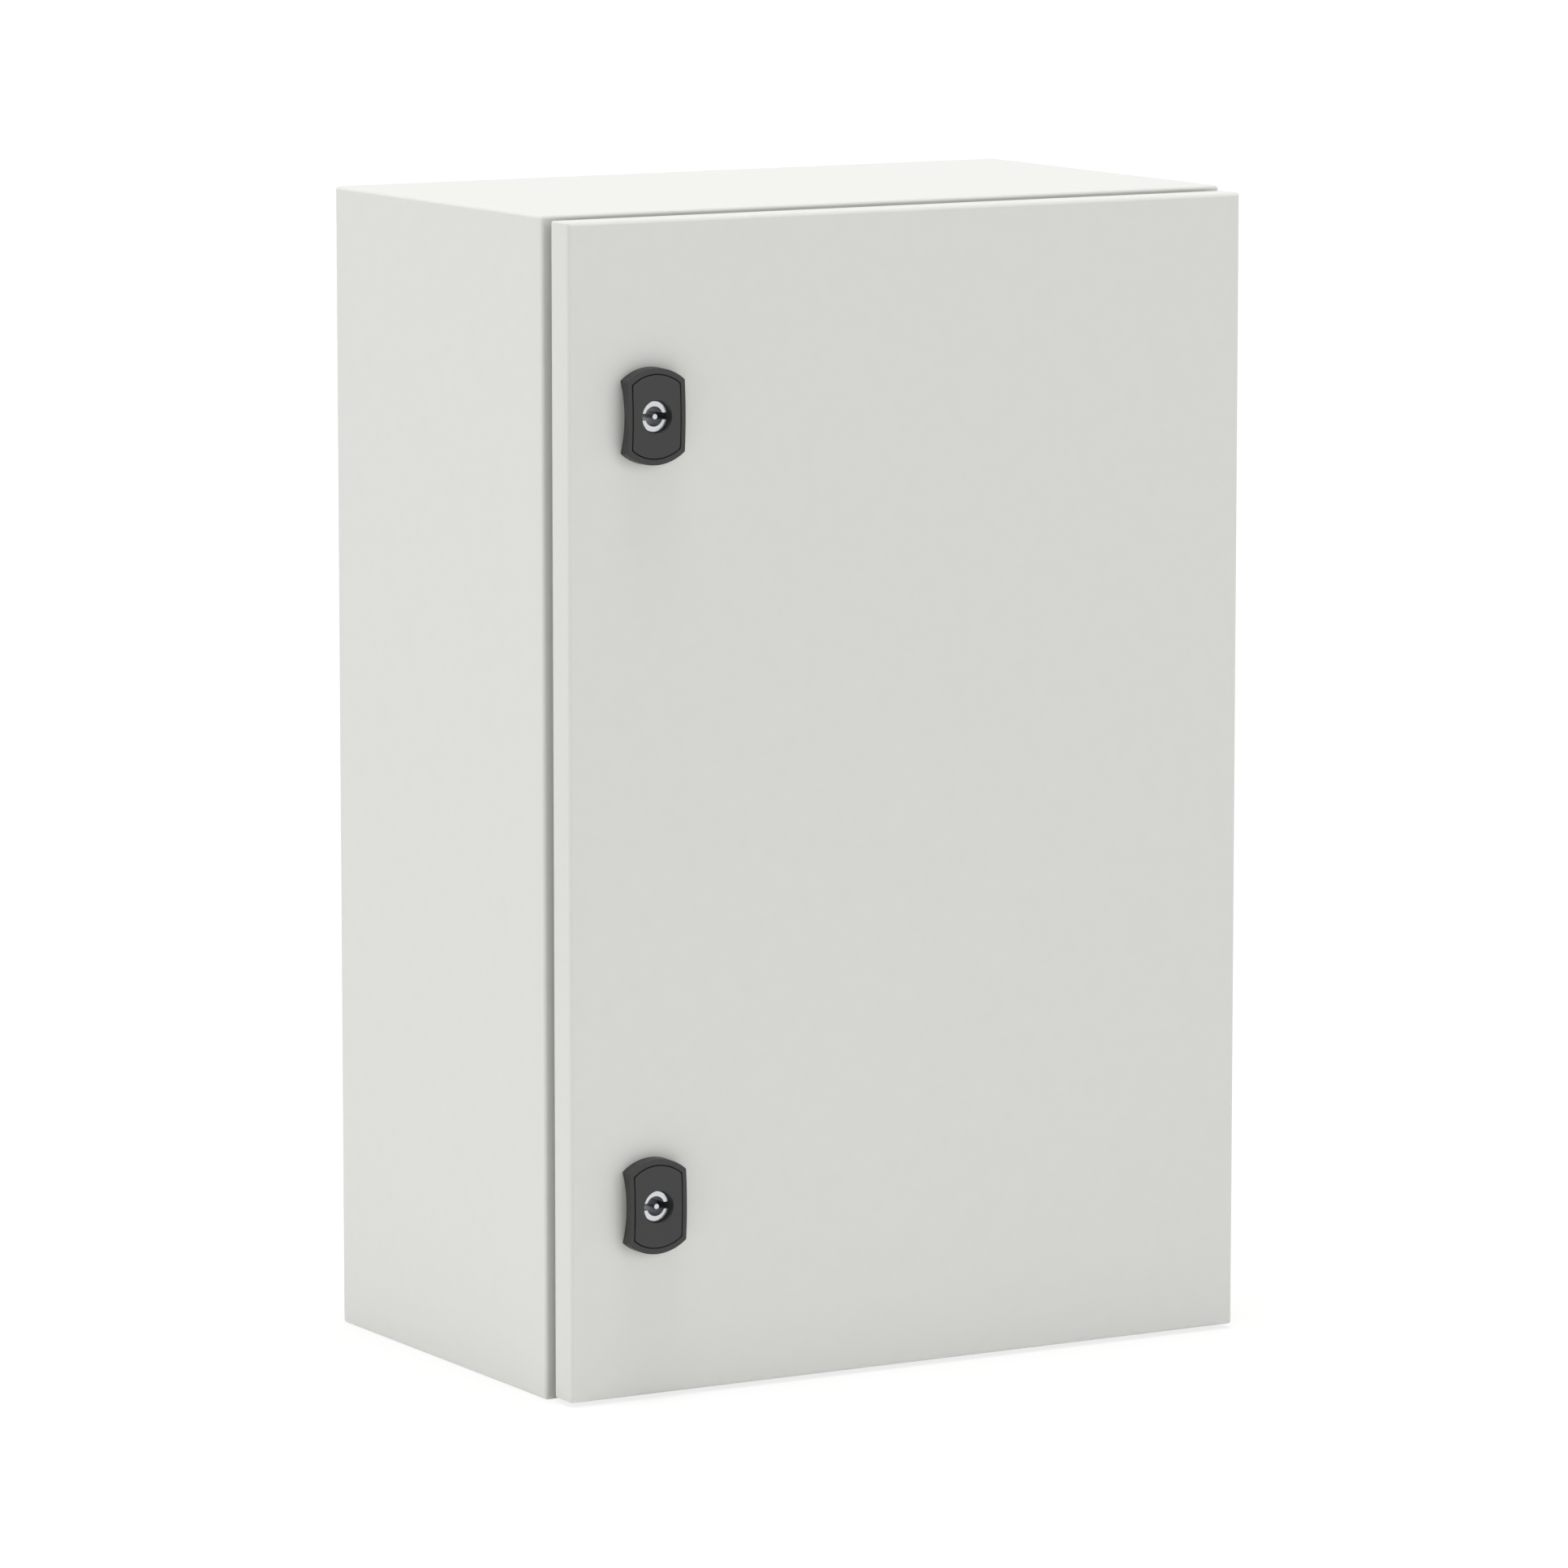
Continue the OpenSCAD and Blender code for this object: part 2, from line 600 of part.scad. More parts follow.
module door_gasket() color(foam) at_flange()
    translate([0, gasket_rear, body_h / 2]) rotate([90, 0, 0]) linear_extrude(gasket_rear - door_inner)
        difference() {
            rounded_rect(2 * gasket_side, body_h - 2 * (gasket_top_margin - gasket_w / 2), gasket_corner_r);
            rounded_rect(2 * (gasket_side - gasket_w), body_h - 2 * (gasket_top_margin + gasket_w / 2),
                         gasket_corner_r - gasket_w / 2);
        }

// U-shaped rail with its web on the door and a row of holes through both legs
module door_rail(side) color(galvanised) at_flange() difference() {
    translate([side * rail_mid - rail_w / 2, door_inner, door_inset + rail_end]) difference() {
        cube([rail_w, rail_d, rail_l]);
        translate([rail_t, rail_t, -cut]) cube([rail_w - 2 * rail_t, rail_d, rail_l + 2 * cut]);
    }
    for (i = [0 : rail_holes])
        translate([side * rail_mid - rail_w, door_inner + rail_t + (rail_d - rail_t) / 2,
                   body_h / 2 + (i - rail_holes / 2) * rail_pitch])
            rotate([0, 90, 0]) cylinder(h = 2 * rail_w, d = rail_hole_d);
    for (z = rail_stud_zs)
        facing_wall(side * rail_mid, door_inner - cut, z)
            cylinder(h = rail_t + 2 * cut, d = rail_stud_d + 2 * screw_gap);
}

// One of a shape at each stud of both rails, standing on the plane y of the door
module at_rail_studs(y) at_flange()
    for (side = [-1, 1], z = rail_stud_zs) facing_wall(side * rail_mid, y, z) children();

module rail_studs() color(zinc) at_rail_studs(door_inner) rod(rail_stud_d, rail_stud_l);
module rail_nuts() color(zinc) at_rail_studs(door_inner + rail_t) hex_nut(m5_nut_af, m5_nut_t, rail_stud_d);

module at_door_earth() at_flange() facing_wall(door_earth_x, door_inner, door_earth_z) children();
module door_earth_stud() color(zinc) at_door_earth() rod(earth_d, earth_stack + earth_stud_free);
module door_earth_washer() color(zinc) at_door_earth() earth_washers(1);
module door_earth_nut() color(zinc) at_door_earth() earth_nuts(1);

// ---------- locks ----------
// Each lock is drawn on its own axis: local Z points out of the door's face, local Y is up.

module at_lock(z) at_flange() facing_front(lock_x, door_front, z) children();

// Outline of the plate or the cover: a circle with two straight sides
module plate_outline(r, w) intersection() {
    circle(r, $fn = 180);
    square([w, 2 * r + cut], center = true);
}

// Everything under the crowned face of the plate
module under_crown(crown) translate([0, 0, crown - crown_r]) rotate([0, 90, 0])
    cylinder(h = 4 * plate_r, r = crown_r, center = true, $fn = 360);

module escutcheon() color(dark_plastic) difference() {
    intersection() {
        linear_extrude(plate_crown + cut) plate_outline(plate_r, plate_w);
        under_crown(plate_crown);
    }
    for (side = [-1, 1])
        translate([side * (plate_w / 2 - scoop + scoop_r), 0, -cut])
            cylinder(h = plate_crown + 2 * cut, r1 = scoop_r + cut * scoop / plate_crown,
                     r2 = scoop_r - scoop - cut * scoop / plate_crown, $fn = 180);
    translate([0, 0, plate_floor]) linear_extrude(plate_crown) plate_outline(cover_r, cover_w);
    translate([0, 0, -cut]) linear_extrude(plate_crown)
        barrel_section(barrel_d + 2 * flats_gap, barrel_flats + 2 * flats_gap);
    translate([0, 0, -cut]) cylinder(h = seal_t + cut, r = barrel_d / 2 + seal_w + seat_gap);
}

module lock_cover() color(dark_plastic) difference() {
    intersection() {
        translate([0, 0, insert_front + cover_lift]) linear_extrude(plate_crown)
            plate_outline(cover_r - cover_gap, cover_w - 2 * cover_gap);
        under_crown(plate_crown);
    }
    cylinder(h = 2 * plate_crown, d = recess_d);
}

module lock_housing() color(dark_plastic) difference() {
    union() {
        translate([0, 0, plate_floor]) cylinder(h = head_t, r = head_r);
        translate([0, 0, door_front - barrel_rear])
            linear_extrude(barrel_rear - door_front + plate_floor) barrel_section(barrel_d, barrel_flats);
    }
    translate([0, 0, insert_front - insert_l - seat_gap])
        cylinder(h = insert_l + seat_gap + cut, d = insert_d + 2 * run_gap);
    translate([0, 0, door_front - barrel_rear - cut])
        cylinder(h = barrel_rear - door_front + insert_front, r = shaft_r + run_gap);
}

module lock_seal() color(rubber) washer(barrel_d / 2 + seal_w, barrel_d + 2 * flats_gap, seal_t);

module lock_nut() color(zinc) translate([0, 0, -door_t - lock_nut_t]) hex_nut(lock_nut_af, lock_nut_t, barrel_d);

module lock_rotor() color(zinc) difference() {
    union() {
        difference() {
            translate([0, 0, insert_front - insert_l]) cylinder(h = insert_l, d = insert_d);
            translate([0, 0, insert_front - key_bore_l]) cylinder(h = key_bore_l + cut, d = key_bore_d);
            translate([-insert_d, -key_slot_h / 2, insert_front - key_bore_l])
                cube([2 * insert_d, key_slot_h, key_bore_l + cut]);
        }
        translate([0, 0, insert_front - key_bore_l - cut])
            cylinder(h = key_bore_l + cut + pin_proud, d = key_pin_d);
        translate([0, 0, door_front - cam_front])
            cylinder(h = cam_front - door_front + insert_front - insert_l, r = shaft_r);
        translate([-square / 2, -square / 2, door_front - cam_rear + square_short])
            cube([square, square, cam_t]);
    }
    translate([0, 0, door_front - cam_rear]) cylinder(h = cam_screw_l, d = cam_screw_d);
}

module cam() color(zinc) translate([0, 0, door_front - cam_rear]) linear_extrude(cam_t) difference() {
    union() {
        circle(d = cam_w);
        translate([-cam_w / 2, -cam_reach + cam_w / 2]) square([cam_w, cam_reach - cam_w / 2]);
        translate([0, -cam_reach + cam_w / 2]) circle(d = cam_w);
    }
    square(square + 2 * square_gap, center = true);
}

module cam_washer() color(zinc) translate([0, 0, door_front - cam_rear - washer_t])
    washer(cam_washer_r, cam_screw_d + 2 * washer_gap, washer_t);

module cam_screw() color(zinc) translate([0, 0, door_front - cam_rear - washer_t]) {
    rod(cam_screw_d, cam_screw_l + washer_t - cam_screw_room);
    translate([0, 0, -cam_screw_head]) hexagon(cam_screw_af, cam_screw_head);
}

// ---------- drawing ----------

body_wrap();
rear_panel();
mounting_plate();
plate_studs();
plate_spacers();
plate_washers();
plate_nuts();
gland_plate();
gland_gasket();
gland_studs();
gland_washers();
gland_nuts();
body_earth_stud();
body_earth_washers();
body_earth_nuts();
hinge_bracket(hinge_zs[1]);  // hinge_bracket_upper
hinge_bracket(hinge_zs[0]);  // hinge_bracket_lower
hinge_pin(hinge_zs[1]);  // hinge_pin_upper
hinge_pin(hinge_zs[0]);  // hinge_pin_lower
bracket_screws();
door_panel();
door_gasket();
door_rail(-1);  // door_rail_left
door_rail(1);  // door_rail_right
rail_studs();
rail_nuts();
door_earth_stud();
door_earth_washer();
door_earth_nut();
hinge_leaf(hinge_zs[1]);  // hinge_leaf_upper
hinge_leaf(hinge_zs[0]);  // hinge_leaf_lower
leaf_studs();
leaf_nuts();
at_lock(lock_zs[1]) escutcheon();  // escutcheon_upper
at_lock(lock_zs[0]) escutcheon();  // escutcheon_lower
at_lock(lock_zs[1]) lock_cover();  // lock_cover_upper
at_lock(lock_zs[0]) lock_cover();  // lock_cover_lower
at_lock(lock_zs[1]) lock_housing();  // lock_housing_upper
at_lock(lock_zs[0]) lock_housing();  // lock_housing_lower
at_lock(lock_zs[1]) lock_seal();  // lock_seal_upper
at_lock(lock_zs[0]) lock_seal();  // lock_seal_lower
at_lock(lock_zs[1]) lock_nut();  // lock_nut_upper
at_lock(lock_zs[0]) lock_nut();  // lock_nut_lower
at_lock(lock_zs[1]) lock_rotor();  // lock_rotor_upper
at_lock(lock_zs[0]) lock_rotor();  // lock_rotor_lower
at_lock(lock_zs[1]) cam();  // cam_upper
at_lock(lock_zs[0]) cam();  // cam_lower
at_lock(lock_zs[1]) cam_washer();  // cam_washer_upper
at_lock(lock_zs[0]) cam_washer();  // cam_washer_lower
at_lock(lock_zs[1]) cam_screw();  // cam_screw_upper
at_lock(lock_zs[0]) cam_screw();  // cam_screw_lower
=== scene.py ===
"""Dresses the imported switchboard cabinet: painted sheet steel, gasket, locks, hinges and hardware."""

import functools
import json
from math import ceil, cos, pi, radians, sin

import bmesh
import bpy
from bpy.props import FloatProperty, FloatVectorProperty, PointerProperty
from bpy.types import Operator, Panel, PropertyGroup
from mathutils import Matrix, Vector

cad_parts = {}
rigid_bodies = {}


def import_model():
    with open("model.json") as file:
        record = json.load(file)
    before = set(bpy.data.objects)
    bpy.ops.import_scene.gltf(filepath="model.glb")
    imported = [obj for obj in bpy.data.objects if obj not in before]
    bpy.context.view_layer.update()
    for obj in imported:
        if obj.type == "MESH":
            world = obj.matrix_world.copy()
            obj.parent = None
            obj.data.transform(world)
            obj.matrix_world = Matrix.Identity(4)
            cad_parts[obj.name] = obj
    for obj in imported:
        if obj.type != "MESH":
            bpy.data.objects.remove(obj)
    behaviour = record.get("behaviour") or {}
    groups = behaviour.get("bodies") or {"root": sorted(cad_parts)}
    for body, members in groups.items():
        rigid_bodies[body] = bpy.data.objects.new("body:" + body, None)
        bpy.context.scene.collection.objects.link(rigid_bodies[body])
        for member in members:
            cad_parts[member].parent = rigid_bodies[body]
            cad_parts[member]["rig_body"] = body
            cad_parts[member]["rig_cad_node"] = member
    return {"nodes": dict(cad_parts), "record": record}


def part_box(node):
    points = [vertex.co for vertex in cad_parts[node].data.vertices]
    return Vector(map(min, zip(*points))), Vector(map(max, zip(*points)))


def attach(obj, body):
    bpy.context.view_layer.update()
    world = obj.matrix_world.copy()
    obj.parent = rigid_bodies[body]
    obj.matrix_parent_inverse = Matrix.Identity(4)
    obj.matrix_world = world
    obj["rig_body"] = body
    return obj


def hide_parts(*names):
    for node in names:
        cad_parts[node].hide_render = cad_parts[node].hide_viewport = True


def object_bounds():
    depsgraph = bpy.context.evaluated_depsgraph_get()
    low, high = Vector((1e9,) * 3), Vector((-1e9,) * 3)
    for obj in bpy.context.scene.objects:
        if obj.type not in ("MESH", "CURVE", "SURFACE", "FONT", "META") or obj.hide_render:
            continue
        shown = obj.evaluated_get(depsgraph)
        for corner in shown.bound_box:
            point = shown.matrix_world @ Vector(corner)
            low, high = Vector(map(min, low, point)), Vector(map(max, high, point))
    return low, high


bl_info = {
    "name": "Switchboard Cabinet Finish",
    "version": (1, 0, 0),
    "blender": (4, 5, 0),
    "location": "3D View > Sidebar > Cabinet",
    "description": "Models and finishes the pieces of a wall-mounted sheet-steel cabinet",
    "category": "Object",
}

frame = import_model()
CAD_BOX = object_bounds()

MM = 0.001
NEAR = 0.01 * MM  # points of a finished mesh closer than this count as one
CAD_NEAR = 0.002 * MM  # the same for a CAD node's mesh
CUT_NEAR = 0.001 * MM  # the same where a plane cuts or a thread's turns meet
PARALLEL = 0.999  # cosine above which two directions count as one
X, Y, Z = Vector((1, 0, 0)), Vector((0, 1, 0)), Vector((0, 0, 1))
ENDS = ("upper", "lower")

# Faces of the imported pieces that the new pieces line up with
BODY_LOW, BODY_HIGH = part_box("body_wrap")
DOOR_LOW, DOOR_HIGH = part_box("door_panel")
FLANGE_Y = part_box("hinge_bracket_upper")[1].y
LOCK_AXES = {end: sum(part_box(f"lock_rotor_{end}"), Vector()) / 2 for end in ENDS}
LOCK_CENTRE = LOCK_AXES["upper"]  # where the lock pieces are made, to be copied to the lower lock
FINISH_OF = {part["node"]: part["material_slot"] for part in frame["record"]["subparts"]}


# ---------- sizes and colours ----------


def length(name, description, millimetres):
    """A size in metres that a user can change, written in millimetres."""
    return FloatProperty(
        name=name, description=description, default=millimetres * MM, min=0.0,
        precision=5, subtype="DISTANCE", unit="LENGTH",
    )


def srgb(code):
    """A linear colour from an sRGB hex code."""
    parts = [int(code[i : i + 2], 16) / 255 for i in (1, 3, 5)]
    return [c / 12.92 if c <= 0.04045 else ((c + 0.055) / 1.055) ** 2.4 for c in parts]


def colour(name, description, code):
    """A colour that a user can change, written as an sRGB hex code."""
    return FloatVectorProperty(
        name=name, description=description, subtype="COLOR", default=srgb(code), min=0, max=1
    )


def amount(name, description, value):
    """A plain number that a user can change."""
    return FloatProperty(name=name, description=description, default=value, min=0)


class SheetSizes(PropertyGroup):
    """Sizes of the folded sheets"""

    thickness: length("Sheet thickness", "Thickness of the body's and the door's sheet", 1.5)
    body_bend: length("Body bend", "Outside radius of the body's bends", 1.8)
    inner_bend: length("Inner bend", "Inside radius of a bend", 1.0)
    flange: length("Flange", "Width of the flange between side and neck", 22)
    gland_lap: length("Gland lap", "Overlap of the gland plate round its opening", 18)
    gland_corner: length("Gland corner", "Corner radius of the cable opening", 6)
    bracket_hole: length("Bracket hole", "Diameter of the bracket screws' holes", 5.8)
    rail_screw_hole: length("Rail screw hole", "Diameter of the rail studs' holes", 5.8)
    door_bend: length("Door bend", "Outside radius of the door's bends", 2)
    door_return: length("Door return", "Width of the return along the rim's rear edge", 8)
    notch: length("Hinge notch", "Depth of the rim's notch at each hinge", 6.5)
    notch_past: length("Notch past", "How far a notch runs past the hinge's foot", 1)
    rail_bend: length("Rail bend", "Outside radius of the rails' bends", 2.2)
    rail_hole: length("Rail hole", "Diameter of the holes along the rails", 5)
    rail_pitch: length("Rail pitch", "Spacing of the holes along the rails", 25)


class GasketSizes(PropertyGroup):
    """Sizes of the foamed door gasket"""

    width: length("Width", "Width of the bead", 9)
    corner: length("Corner", "Radius of the bead's inner corners", 3.5)
    dome: length("Dome", "Rounding of the bead's back", 3.8)
    dent: length("Dent", "Depth of the line that the neck has pressed in", 0.7)


class LockSizes(PropertyGroup):
    """Sizes of the quarter-turn locks"""

    plate_r: length("Plate radius", "Radius of the lock plate's round ends", 24.5)
    plate_w: length("Plate width", "Width of the lock plate", 32.8)
    crown: length("Crown", "Height of the plate's middle above the door", 8.3)
    end_height: length("End height", "Height of the plate at its round ends", 6.7)
    scoop: length("Scoop", "Depth of the hollow in each side, at the door", 2.3)
    scoop_r: length("Scoop radius", "Radius of that hollow at the door", 73)
    scoop_end: length("Scoop end", "How far below the crown the hollow runs out", 0.9)
    arch_step: length("Arch step", "Width of the strips in the plate's arch", 2)
    floor: length("Floor", "Thickness of the plate under its cover", 3.4)
    cover_r: length("Cover radius", "Radius of the cover pocket's round ends", 21.4)
    cover_w: length("Cover width", "Width of the cover's pocket", 27.6)
    joint: length("Joint", "Width of the joint line round the cover", 0.4)
    cover_floor: length("Cover floor", "Height of the cover's back above the door", 5)
    recess_d: length("Recess", "Diameter of the recess round the key insert", 16.8)
    plate_corner: length("Plate corner", "Rounding of the plate's four corners", 0.4)
    cover_corner: length("Cover corner", "Rounding of the cover's four corners", 1)
    soft_edge: length("Soft edge", "Rounding of the plate's moulded edges", 0.5)
    fine_edge: length("Fine edge", "Rounding of the cover's moulded edges", 0.3)
    turned_edge: length("Turned edge", "Rounding of the key insert's edges", 0.2)
    insert_d: length("Insert", "Diameter of the key insert", 15.6)
    insert_front: length("Insert front", "Height of the insert's ring above the door", 4.9)
    insert_l: length("Insert length", "Length of the insert's thick part", 15)
    insert_gap: length("Insert gap", "Radial clearance of the insert in its barrel", 0.05)
    insert_end: length("Insert end gap", "Clearance behind the insert's thick part", 0.3)
    bore_d: length("Key bore", "Diameter of the key bore", 10)
    bore_l: length("Key bore depth", "Depth of the key bore", 12)
    slot: length("Slot", "Height of the slot for the key's bits", 3.3)
    pin_d: length("Pin", "Diameter of the pin in the key bore", 2.8)
    pin_proud: length("Pin proud", "How far the pin stands ahead of the ring", 1)
    shaft_d: length("Shaft", "Diameter of the shaft behind the insert", 12)
    square: length("Square", "Side of the square that carries the cam", 8)
    cam_t: length("Cam thickness", "Thickness of the cam on its square", 3)
    barrel_d: length("Barrel", "Diameter of the threaded barrel", 22)
    barrel_flats: length("Barrel flats", "Width of the barrel across its flats", 19.8)
    barrel_pitch: length("Barrel pitch", "Pitch of the barrel's thread", 1.5)
    head_d: length("Head", "Diameter of the barrel's head", 25.2)
    hole_gap: length("Hole gap", "Radial clearance of the barrel in the door", 0.25)


class EdgeSizes(PropertyGroup):
    """Rounding of the pieces' edges, by what made them"""

    painted: length("Painted", "Rounding that the paint gives a cut edge", 0.35)
    cast: length("Cast", "Rounding of the die-cast hinges' edges", 0.5)
    turned: length("Turned", "Rounding of a turned part's edges", 0.2)
    stamped: length("Stamped", "Rounding of a stamped part's edges", 0.2)
    sheared: length("Sheared", "Rounding of a sheared plate's edges", 0.15)


class Colours(PropertyGroup):
    """Colours of the finishes"""

    paint: colour("Paint", "Light grey powder coat", "#D2D3CF")
    zinc: colour("Zinc plate", "Bright zinc plate", "#C4C8CC")
    galvanised: colour("Galvanised", "Hot-dip galvanised sheet", "#A7ACB0")
    casting: colour("Casting", "Die-cast zinc", "#A3A5A8")
    nickel: colour("Nickel", "Nickel-plated key insert", "#D2D4D7")
    # Bore: a darker tone painted as shade inside the key bore
    bore: colour("Bore", "Greased zinc in the key bore", "#C3C5C8")
    plastic: colour("Plastic", "Dark grey glass-filled polyamide", "#373737")
    rubber: colour("Rubber", "Black seal rubber", "#1E1F20")
    foam: colour("Foam", "Foamed polyurethane gasket", "#2D2E30")


class StageSizes(PropertyGroup):
    """The floor, lights and camera"""

    floor: length("Floor", "Width of the floor", 60000)
    lens: length("Lens", "Focal length of the camera", 200.16)
    camera: FloatVectorProperty(
        name="Camera", description="Place of the camera", subtype="TRANSLATION",
        unit="LENGTH", default=(-2.2583, -3.8977, 0.9411),
    )
    aim: FloatVectorProperty(
        name="Aim", description="Turn of the camera", subtype="EULER", unit="ROTATION",
        default=(radians(81.758), 0, radians(-30.026)),
    )
    dome: amount("Dome", "Strength of the sky dome", 0.3)
    floor_white: amount("Floor white", "Share of plain white in the floor that shows", 0.8)
    top: amount("Top lamp", "Strength of the lamp overhead", 2.68)
    left: amount("Left lamp", "Strength of the left lamp", 1.44)
    front: amount("Front lamp", "Strength of the lamp ahead", 1.14)


SETTINGS = {
    "sheet": SheetSizes,
    "gasket": GasketSizes,
    "lock": LockSizes,
    "edges": EdgeSizes,
    "colours": Colours,
    "stage": StageSizes,
}


class CabinetSettings(PropertyGroup):
    """Everything that a user can change"""

    __annotations__ = {name: PointerProperty(type=kind) for name, kind in SETTINGS.items()}


# ---------- modelling tools ----------


def pick_object(obj):
    """Leaves obj alone selected and active, in object mode."""
    if bpy.context.mode != "OBJECT":
        bpy.ops.object.mode_set(mode="OBJECT")
    bpy.ops.object.select_all(action="DESELECT")
    obj.select_set(True)
    bpy.context.view_layer.objects.active = obj


def settle(obj):
    """Applies obj's place, turn and size to its mesh."""
    pick_object(obj)
    bpy.ops.object.transform_apply(location=True, rotation=True, scale=True)
    return obj


def named(name):
    """The object just added, under its own name."""
    obj = bpy.context.object
    obj.name = obj.data.name = name
    return obj


def add_box(name, corner, opposite):
    """A box between two opposite corners."""
    low, high = Vector(map(min, corner, opposite)), Vector(map(max, corner, opposite))
    bpy.ops.mesh.primitive_cube_add(size=1, location=(low + high) / 2)
    obj = named(name)
    obj.scale = high - low
    return settle(obj)


def add_rod(name, start, axis, height, radius, end_radius=None, vertices=96):
    """A cylinder, or a cone, that runs from start along axis."""
    end_radius = radius if end_radius is None else end_radius
    bpy.ops.mesh.primitive_cone_add(
        vertices=vertices, radius1=radius, radius2=end_radius, depth=height,
        location=Vector(start) + axis * height / 2, rotation=axis.to_track_quat("Z", "Y").to_euler(),
    )
    return settle(named(name))


def open_mesh(obj):
    """Opens obj in edit mode with all of it selected."""
    pick_object(obj)
    bpy.ops.object.mode_set(mode="EDIT")
    bpy.ops.mesh.select_all(action="SELECT")


def select(obj, kind, test):
    """Opens obj in edit mode with only the faces or edges selected that pass the test."""
    pick_object(obj)
    bpy.ops.object.mode_set(mode="EDIT")
    bpy.ops.mesh.select_mode(type=kind)
    bpy.ops.mesh.select_all(action="DESELECT")
    mesh = bmesh.from_edit_mesh(obj.data)
    for item in mesh.faces if kind == "FACE" else mesh.edges:
        if test(item):
            item.select_set(True)
    bmesh.update_edit_mesh(obj.data)


def done():
    """Goes back to object mode."""
    bpy.ops.object.mode_set(mode="OBJECT")


def facing(axis):
    """A test for faces whose normal lies along axis."""
    return lambda face: face.normal.dot(axis) > PARALLEL


def at(axis, place):
    """A test for edges that lie wholly at a place along axis."""
    return lambda edge: all(abs(vert.co.dot(axis) - place) < NEAR for vert in edge.verts)


def along(axis):
    """A test for edges that run along axis."""
    return lambda edge: abs((edge.verts[0].co - edge.verts[1].co).normalized().dot(axis)) > PARALLEL


def cut_plane(obj, place, axis):
    """Cuts off all of obj that lies past place along axis, and closes the cut."""
    open_mesh(obj)
    bpy.ops.mesh.bisect(plane_co=place, plane_no=axis, use_fill=True, clear_outer=True, threshold=CUT_NEAR)
    done()


def cut_flats(obj, centre, width):
    """Cuts two upright flats, this far apart, on the left and the right of obj's centre."""
    for side in (-1, 1):
        cut_plane(obj, centre + X * side * width / 2, X * side)


def apply_modifier(obj, kind, **settings):
    """Adds a modifier with these settings and applies it."""
    pick_object(obj)
    modifier = obj.modifiers.new(kind.title(), kind)
    for name, value in settings.items():
        setattr(modifier, name, value)
    bpy.ops.object.modifier_apply(modifier=modifier.name)


def combine(obj, other, operation="DIFFERENCE"):
    """Cuts other out of obj, or adds or keeps what they share, and deletes other."""
    apply_modifier(obj, "BOOLEAN", object=other, operation=operation, solver="EXACT")
    bpy.data.objects.remove(other)


def drill(obj, start, axis, depth, diameter, vertices=96):
    """Drills a round hole in obj, from start along axis."""
    combine(obj, add_rod("cutter", start, axis, depth, diameter / 2, vertices=vertices))


def mend(obj, distance=NEAR):
    """Joins points that all but coincide, drops the faces that vanish with them, and closes small gaps."""
    open_mesh(obj)
    bpy.ops.mesh.remove_doubles(threshold=distance)
    bpy.ops.mesh.dissolve_degenerate(threshold=distance)
    bpy.ops.mesh.fill_holes(sides=0)
    bpy.ops.mesh.select_all(action="SELECT")
    bpy.ops.mesh.normals_make_consistent(inside=False)
    done()


def round_edges(obj, width, angle=60, segments=2):
    """Rounds every edge sharper than angle."""
    limit = radians(angle)
    apply_modifier(obj, "BEVEL", width=width, segments=segments, limit_method="ANGLE", angle_limit=limit)


def extrude(depth):
    """Pulls the selected faces back along Y."""
    bpy.ops.mesh.extrude_region_move(TRANSFORM_OT_translate={"value": (0, depth, 0)})


def bevel(obj, test, radius, segments, **settings):
    """Rounds the edges of obj that pass the test."""
    select(obj, "EDGE", test)
    bpy.ops.mesh.bevel(offset=radius, segments=segments, affect="EDGES", **settings)
    done()


def round_rims(obj, front, radius):
    """Rounds the edges where a flat front, at this place along Y, meets the walls round it."""

    def rim(edge):
        return at(Y, front)(edge) and sum(facing(-Y)(face) for face in edge.link_faces) == 1

    bevel(obj, rim, radius, 3)


def smooth(obj, angle=35):
    """Shades obj smooth, but for edges sharper than angle, and leaves its flats flat."""
    pick_object(obj)
    bpy.ops.object.shade_smooth_by_angle(angle=radians(angle), keep_sharp_edges=False)
    apply_modifier(obj, "WEIGHTED_NORMAL", mode="FACE_AREA", weight=100, keep_sharp=True)


def copy_to(obj, name, shift):
    """A copy of obj with its own mesh, moved by shift."""
    pick_object(obj)
    bpy.ops.object.duplicate(linked=False)
    twin = named(name)
    twin.location = shift
    return settle(twin)


def paint(obj, material):
    """Gives obj this finish alone."""
    obj.data.materials.clear()
    obj.data.materials.append(material)


def dress(obj, material, body, *nodes):
    """Paints a finished piece, sets it on its body and lets it stand for its CAD nodes."""
    paint(obj, material)
    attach(obj, body)
    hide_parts(*nodes)


def dress_pair(piece, material, node, bodies=("door", "door")):
    """Copies the upper lock's piece to the lower lock, dresses both and returns both."""
    twin = copy_to(piece, piece.name.replace(*ENDS), LOCK_AXES["lower"] - LOCK_CENTRE)
    for end, body, obj in zip(ENDS, bodies, (piece, twin)):
        dress(obj, material, body, f"{node}_{end}")
    return piece, twin


def copy_of_node(node, name):
    """A merged copy of a CAD node's mesh, with its flat faces whole again."""
    pick_object(frame["nodes"][node])
    bpy.ops.object.duplicate(linked=False)
    obj = named(name)
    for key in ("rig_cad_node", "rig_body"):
        obj.pop(key, None)
    obj.parent = None
    open_mesh(obj)
    bpy.ops.mesh.remove_doubles(threshold=CAD_NEAR)
    bpy.ops.mesh.dissolve_limited(angle_limit=radians(0.5))
    done()
    return obj


